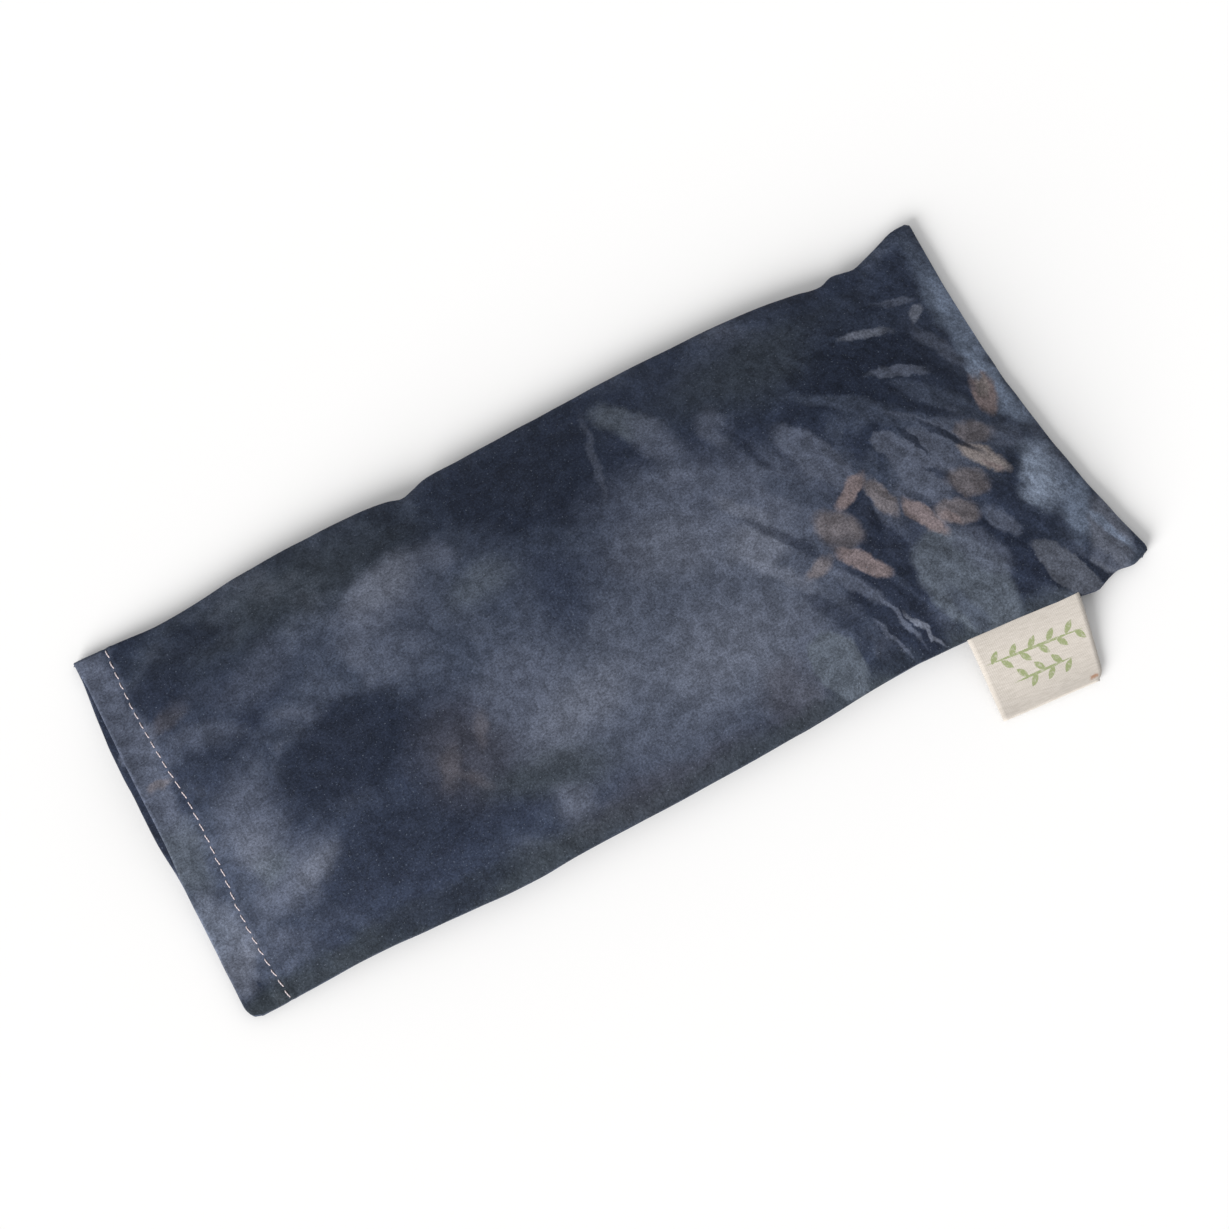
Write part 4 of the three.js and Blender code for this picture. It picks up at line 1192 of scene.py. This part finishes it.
def silk_material():
    """Silk that was rolled up with leaves and dyed: clouds of indigo and slate, petals, and fine grain, with
    painted sheen on the sewn end's slope and the hem, and painted shade along the long edges and inside the
    mouth.
    """
    material, graph, shader = new_material(
        "bundle_dyed_silk", roughness=0.6, specular_ior_level=0.06, sheen_weight=0.06, sheen_roughness=0.4,
        sheen_tint=srgb(176, 190, 216))
    place = graph.vector("ADD", cloth_mm(graph), (2.0, 2.2, 0))
    base = graph.noise(warped(graph, place, 0.045, 22.0), 0.035, 6.0, 0.55, 0.5)
    colour = graph.ramp(base, [(0.32, NIGHT), (0.44, INK), (0.53, SLATE), (0.64, MIST), (0.78, PALE)])
    group = dye_and_painted_light_group()
    colour = dye_and_painted_light(graph, group, warped(graph, place, 0.1, 9.0, 5.0), colour, CLOUDS)
    colour = dye_and_painted_light(graph, group, warped(graph, place, 0.2, 4.6, 5.0), colour, PETALS_PAINTED_SHEEN_AND_SHADE)
    mottle = graph.span(graph.noise(warped(graph, place, 0.25, 5.0), 0.26, 6.0, 0.68), 0.36, 0.64, 0.78, 1.24)
    brushed = graph.seen_from(warped(graph, place, 0.07, 9.0), (0, 0), -54, (14.0, 2.2))
    end_share = graph.span(graph.parts(place)[0], 42.0, 72.0, 0.0, 0.2)
    streak = graph.span(graph.noise(brushed, 1.0, 3.0, 0.5), 0.3, 0.7, -1.0, 1.0)
    mottle = graph.math("ADD", mottle, graph.math("MULTIPLY", streak, end_share))
    grain = graph.span(graph.noise(place, 1.7, 3.0, 0.8), 0.3, 0.7, 0.62, 1.36)
    colour = graph.scaled(graph.scaled(colour, mottle), grain)
    slubs = graph.span(graph.noise(place, 2.1, 2.0, 0.5), 0.64, 0.74, 0.0, 0.35)
    colour = graph.mix(slubs, colour, srgb(128, 138, 152))
    graph.link(colour, shader, "Base Color")
    graph.link(graph.span(base, 0.3, 0.7, 0.5, 0.66), shader, "Roughness")
    nap = graph.bump(graph.noise(place, 2.2, 4.0, 0.65), 0.6, 0.00015)
    graph.link(graph.bump(graph.weave(place, 0.5), 0.35, 0.00006, nap), shader, "Normal")
    return material


def thread_material(name, colour, shade):
    """Twisted sewing thread, its plies winding round it, with painted shade in the grooves between them."""
    material, graph, shader = new_material(name, roughness=0.6, sheen_weight=0.3, specular_ior_level=0.3)
    place = cloth_mm(graph)
    parts = graph.parts(place)
    twist = graph.math("ADD", graph.math("MULTIPLY", parts[0], 9.0), graph.math("MULTIPLY", parts[1], 12.0))
    ply = graph.span(graph.math("SINE", twist), -1.0, 1.0)
    # the shade colour goes where the ply's bump is low, in the grooves: painted shade
    graph.link(graph.mix(ply, shade, colour), shader, "Base Color")
    graph.link(graph.bump(ply, 0.6, 0.00005), shader, "Normal")
    return material


def leaf_mask(graph, place, centre, size, turn):
    """1 inside a pointed leaf, 0 outside."""
    parts = graph.parts(graph.seen_from(place, centre, turn, size))
    belly = graph.math("SUBTRACT", 1.0, graph.math("MULTIPLY", parts[0], parts[0]))
    return graph.span(graph.math("SUBTRACT", belly, graph.math("ABSOLUTE", parts[1])), -0.08, 0.16)


def label_material():
    """Cotton tape with a woven sprig of leaves, and no words."""
    material, graph, shader = new_material("woven_label_tape", roughness=0.9, sheen_weight=0.25,
                                           specular_ior_level=0.2)
    place = cloth_mm(graph)
    yarn = graph.noise(graph.vector("MULTIPLY", place, (0.35, 2.2, 1)), 1.0)
    cloth = graph.ramp(yarn, [(0.3, srgb(187, 180, 171)), (0.7, srgb(202, 195, 187))])
    stain = graph.length(graph.seen_from(warped(graph, place, 0.6, 2.0), (12.4, 21.4), 0, (1.3, 0.6)))
    cloth = graph.mix(graph.span(stain, 1.3, 0.5, 0.0, 0.7), cloth, srgb(160, 104, 62))
    print_place = warped(graph, place, 2.0, 0.35)
    mask = None
    for row, reach, leaves, lean in ((8.9, 13.4, 10, 1), (15.0, 8.2, 6, -1)):
        stem = leaf_mask(graph, print_place, (0, row), (reach, 0.36), lean * 1.5)
        mask = stem if mask is None else graph.math("MAXIMUM", mask, stem)
        for number in range(leaves):
            x = (2 * number - leaves + 1) * (reach - 1.3) / leaves
            side = 1 if number % 2 else -1
            leaf = leaf_mask(graph, print_place, (x + 0.6, row + side * 1.35), (1.85, 0.8), lean * side * 50)
            mask = graph.math("MAXIMUM", mask, leaf)
    worn = graph.math("MULTIPLY", mask, graph.span(graph.noise(place, 1.3, 3.0), 0.25, 0.55, 0.35, 0.9))
    cloth = graph.mix(worn, cloth, srgb(136, 148, 100))
    graph.link(cloth, shader, "Base Color")
    parts = graph.parts(place)
    diagonal = graph.math("ADD", parts[0], parts[1])
    twill = graph.math("SINE", graph.math("MULTIPLY", diagonal, 2 * math.pi / 0.55))
    graph.link(graph.bump(twill, 0.45, 0.00009), shader, "Normal")
    return material


def muslin_material():
    """Plain unbleached cotton with flecks of husk, its seeds felt through it, and painted shade between its
    threads.
    """
    material, graph, shader = new_material("unbleached_muslin", roughness=0.92, sheen_weight=0.3,
                                           specular_ior_level=0.2)
    place = cloth_mm(graph)
    weave = graph.weave(place, 0.7)
    yarn = graph.noise(place, 0.5, 5.0, 0.6)
    colour = graph.ramp(yarn, [(0.3, srgb(198, 188, 168)), (0.7, srgb(224, 216, 200))])
    # darker where the weave's bump is low, between the threads: painted shade
    colour = graph.mix(graph.span(weave, 0.2, 0.8, 0.35, 0.0), colour, srgb(166, 153, 130))
    flecks = graph.span(graph.noise(place, 1.1, 2.0), 0.70, 0.76, 0.0, 0.6)
    colour = graph.mix(flecks, colour, srgb(128, 100, 66))
    graph.link(colour, shader, "Base Color")
    lumps = graph.bump(graph.node("ShaderNodeTexVoronoi", {"Vector": place, "Scale": 0.36},
                                  feature="SMOOTH_F1").outputs["Distance"], 0.25, -0.0004)
    graph.link(graph.bump(weave, 0.5, 0.0001, lumps), shader, "Normal")
    return material


def grain_material(name, dark, light, gloss, streaks):
    """The skin of the seeds or buds, which differ from one to the next."""
    material, graph, shader = new_material(name, roughness=gloss, specular_ior_level=0.4)
    place = graph.scaled(graph.node("ShaderNodeTexCoord").outputs["Object"], 1 / MM)
    tone = graph.noise(place, 0.35, 3.0, 0.7)
    colour = graph.ramp(tone, [(0.3, dark), (0.7, light)])
    fine = graph.noise(place, streaks, 3.0, 0.6)
    colour = graph.mix(graph.span(fine, 0.4, 0.7, 0.0, 0.4), colour, dark)
    graph.link(colour, shader, "Base Color")
    graph.link(graph.bump(fine, 0.4, 0.0001), shader, "Normal")
    return material


MATERIALS = {
    "silk": silk_material(),
    "pale_thread": thread_material("pale_thread", srgb(214, 203, 204), srgb(164, 150, 153)),
    "dark_thread": thread_material("dark_thread", srgb(70, 78, 96), srgb(38, 44, 58)),
    "label_tape": label_material(),
    "muslin": muslin_material(),
    "flax_seed": grain_material("flax_seed_coat", srgb(78, 44, 24), srgb(146, 96, 54), 0.32, 3.0),
    "lavender": grain_material("lavender_bud", srgb(70, 62, 84), srgb(132, 120, 152), 0.9, 2.0),
}

# ---- what each piece is made of, what it moves with, and the CAD node that it takes the place of ----
PIECES = [
    (cover_upper, "silk", "cover", "cover_upper_panel"),
    (cover_lower, "silk", "cover", "cover_lower_panel"),
    *[(cover_seams[where], "silk", "cover", f"cover_{where}_seam_allowance") for where in COVER_SEAMS],
    *[(cover_seam_threads[where], "dark_thread", "cover", f"cover_{where}_seam_stitching")
      for where in COVER_SEAMS],
    (upper_stitches, "pale_thread", "cover", "upper_hem_stitching"),
    (lower_stitches, "pale_thread", "cover", "lower_hem_stitching"),
    (label, "label_tape", "label", "side_label"),
    (pouch_upper, "muslin", "insert", "pouch_upper_panel"),
    (pouch_lower, "muslin", "insert", "pouch_lower_panel"),
    (pouch_seams["left"], "muslin", "insert", "pouch_left_seam_allowance"),
    (pouch_seams["right"], "muslin", "insert", "pouch_right_seam_allowance"),
    (pouch_seams["far"], "muslin", "insert", "pouch_end_seam_allowance"),
    (pouch_seams["closing"], "muslin", "insert", "pouch_closing_edge"),
    (pouch_stitches, "pale_thread", "insert", "pouch_closing_stitching"),
    (seeds, "flax_seed", "insert", "flax_seed_fill"),
    (buds, "lavender", "insert", "lavender_bud_fill"),
]
for item, slot, body, node in PIECES:
    item.data.materials.append(MATERIALS[slot])
    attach(item, body)
    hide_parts(node)

for item in (cover_upper, cover_lower, *cover_seams.values(), *cover_seam_threads.values(), upper_stitches,
             lower_stitches, label):
    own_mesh(item)


# ---- studio ----
FLOOR_SHADE = 0.843
FLOOR_DROP = 0.2 * MM  # just under the cover, so that the two never share a plane
SKY_STRENGTH = 0.62
KEY_FROM = (-0.95, -0.55, 0.5)
KEY_WIDTH = 38  # how wide the distant key light looks from the pillow, in degrees
KEY_STRENGTH = 4.35


def add_key_light():
    data = bpy.data.lights.new("key", "SUN")
    data.angle = math.radians(KEY_WIDTH)
    data.energy = KEY_STRENGTH
    data.color = (1.0, 0.99, 0.98)
    light = add_object("key", data)
    light.location = KEY_FROM
    light.rotation_euler = Vector(KEY_FROM).to_track_quat("Z", "Y").to_euler()


def add_studio():
    floor = add_plane("floor", 3)
    shade = (FLOOR_SHADE, FLOOR_SHADE, FLOOR_SHADE, 1)
    floor.data.materials.append(new_material("floor", base_color=shade, roughness=0.9)[0])
    floor.location.z = -FLOOR_DROP
    world = bpy.data.worlds.new("studio")
    bpy.context.scene.world = world
    world.use_nodes = True
    sky = world.node_tree.nodes["Background"].inputs
    sky["Color"].default_value = (1, 1, 1, 1)
    sky["Strength"].default_value = SKY_STRENGTH
    add_key_light()
    bpy.context.scene.view_settings.view_transform = "Standard"


add_studio()
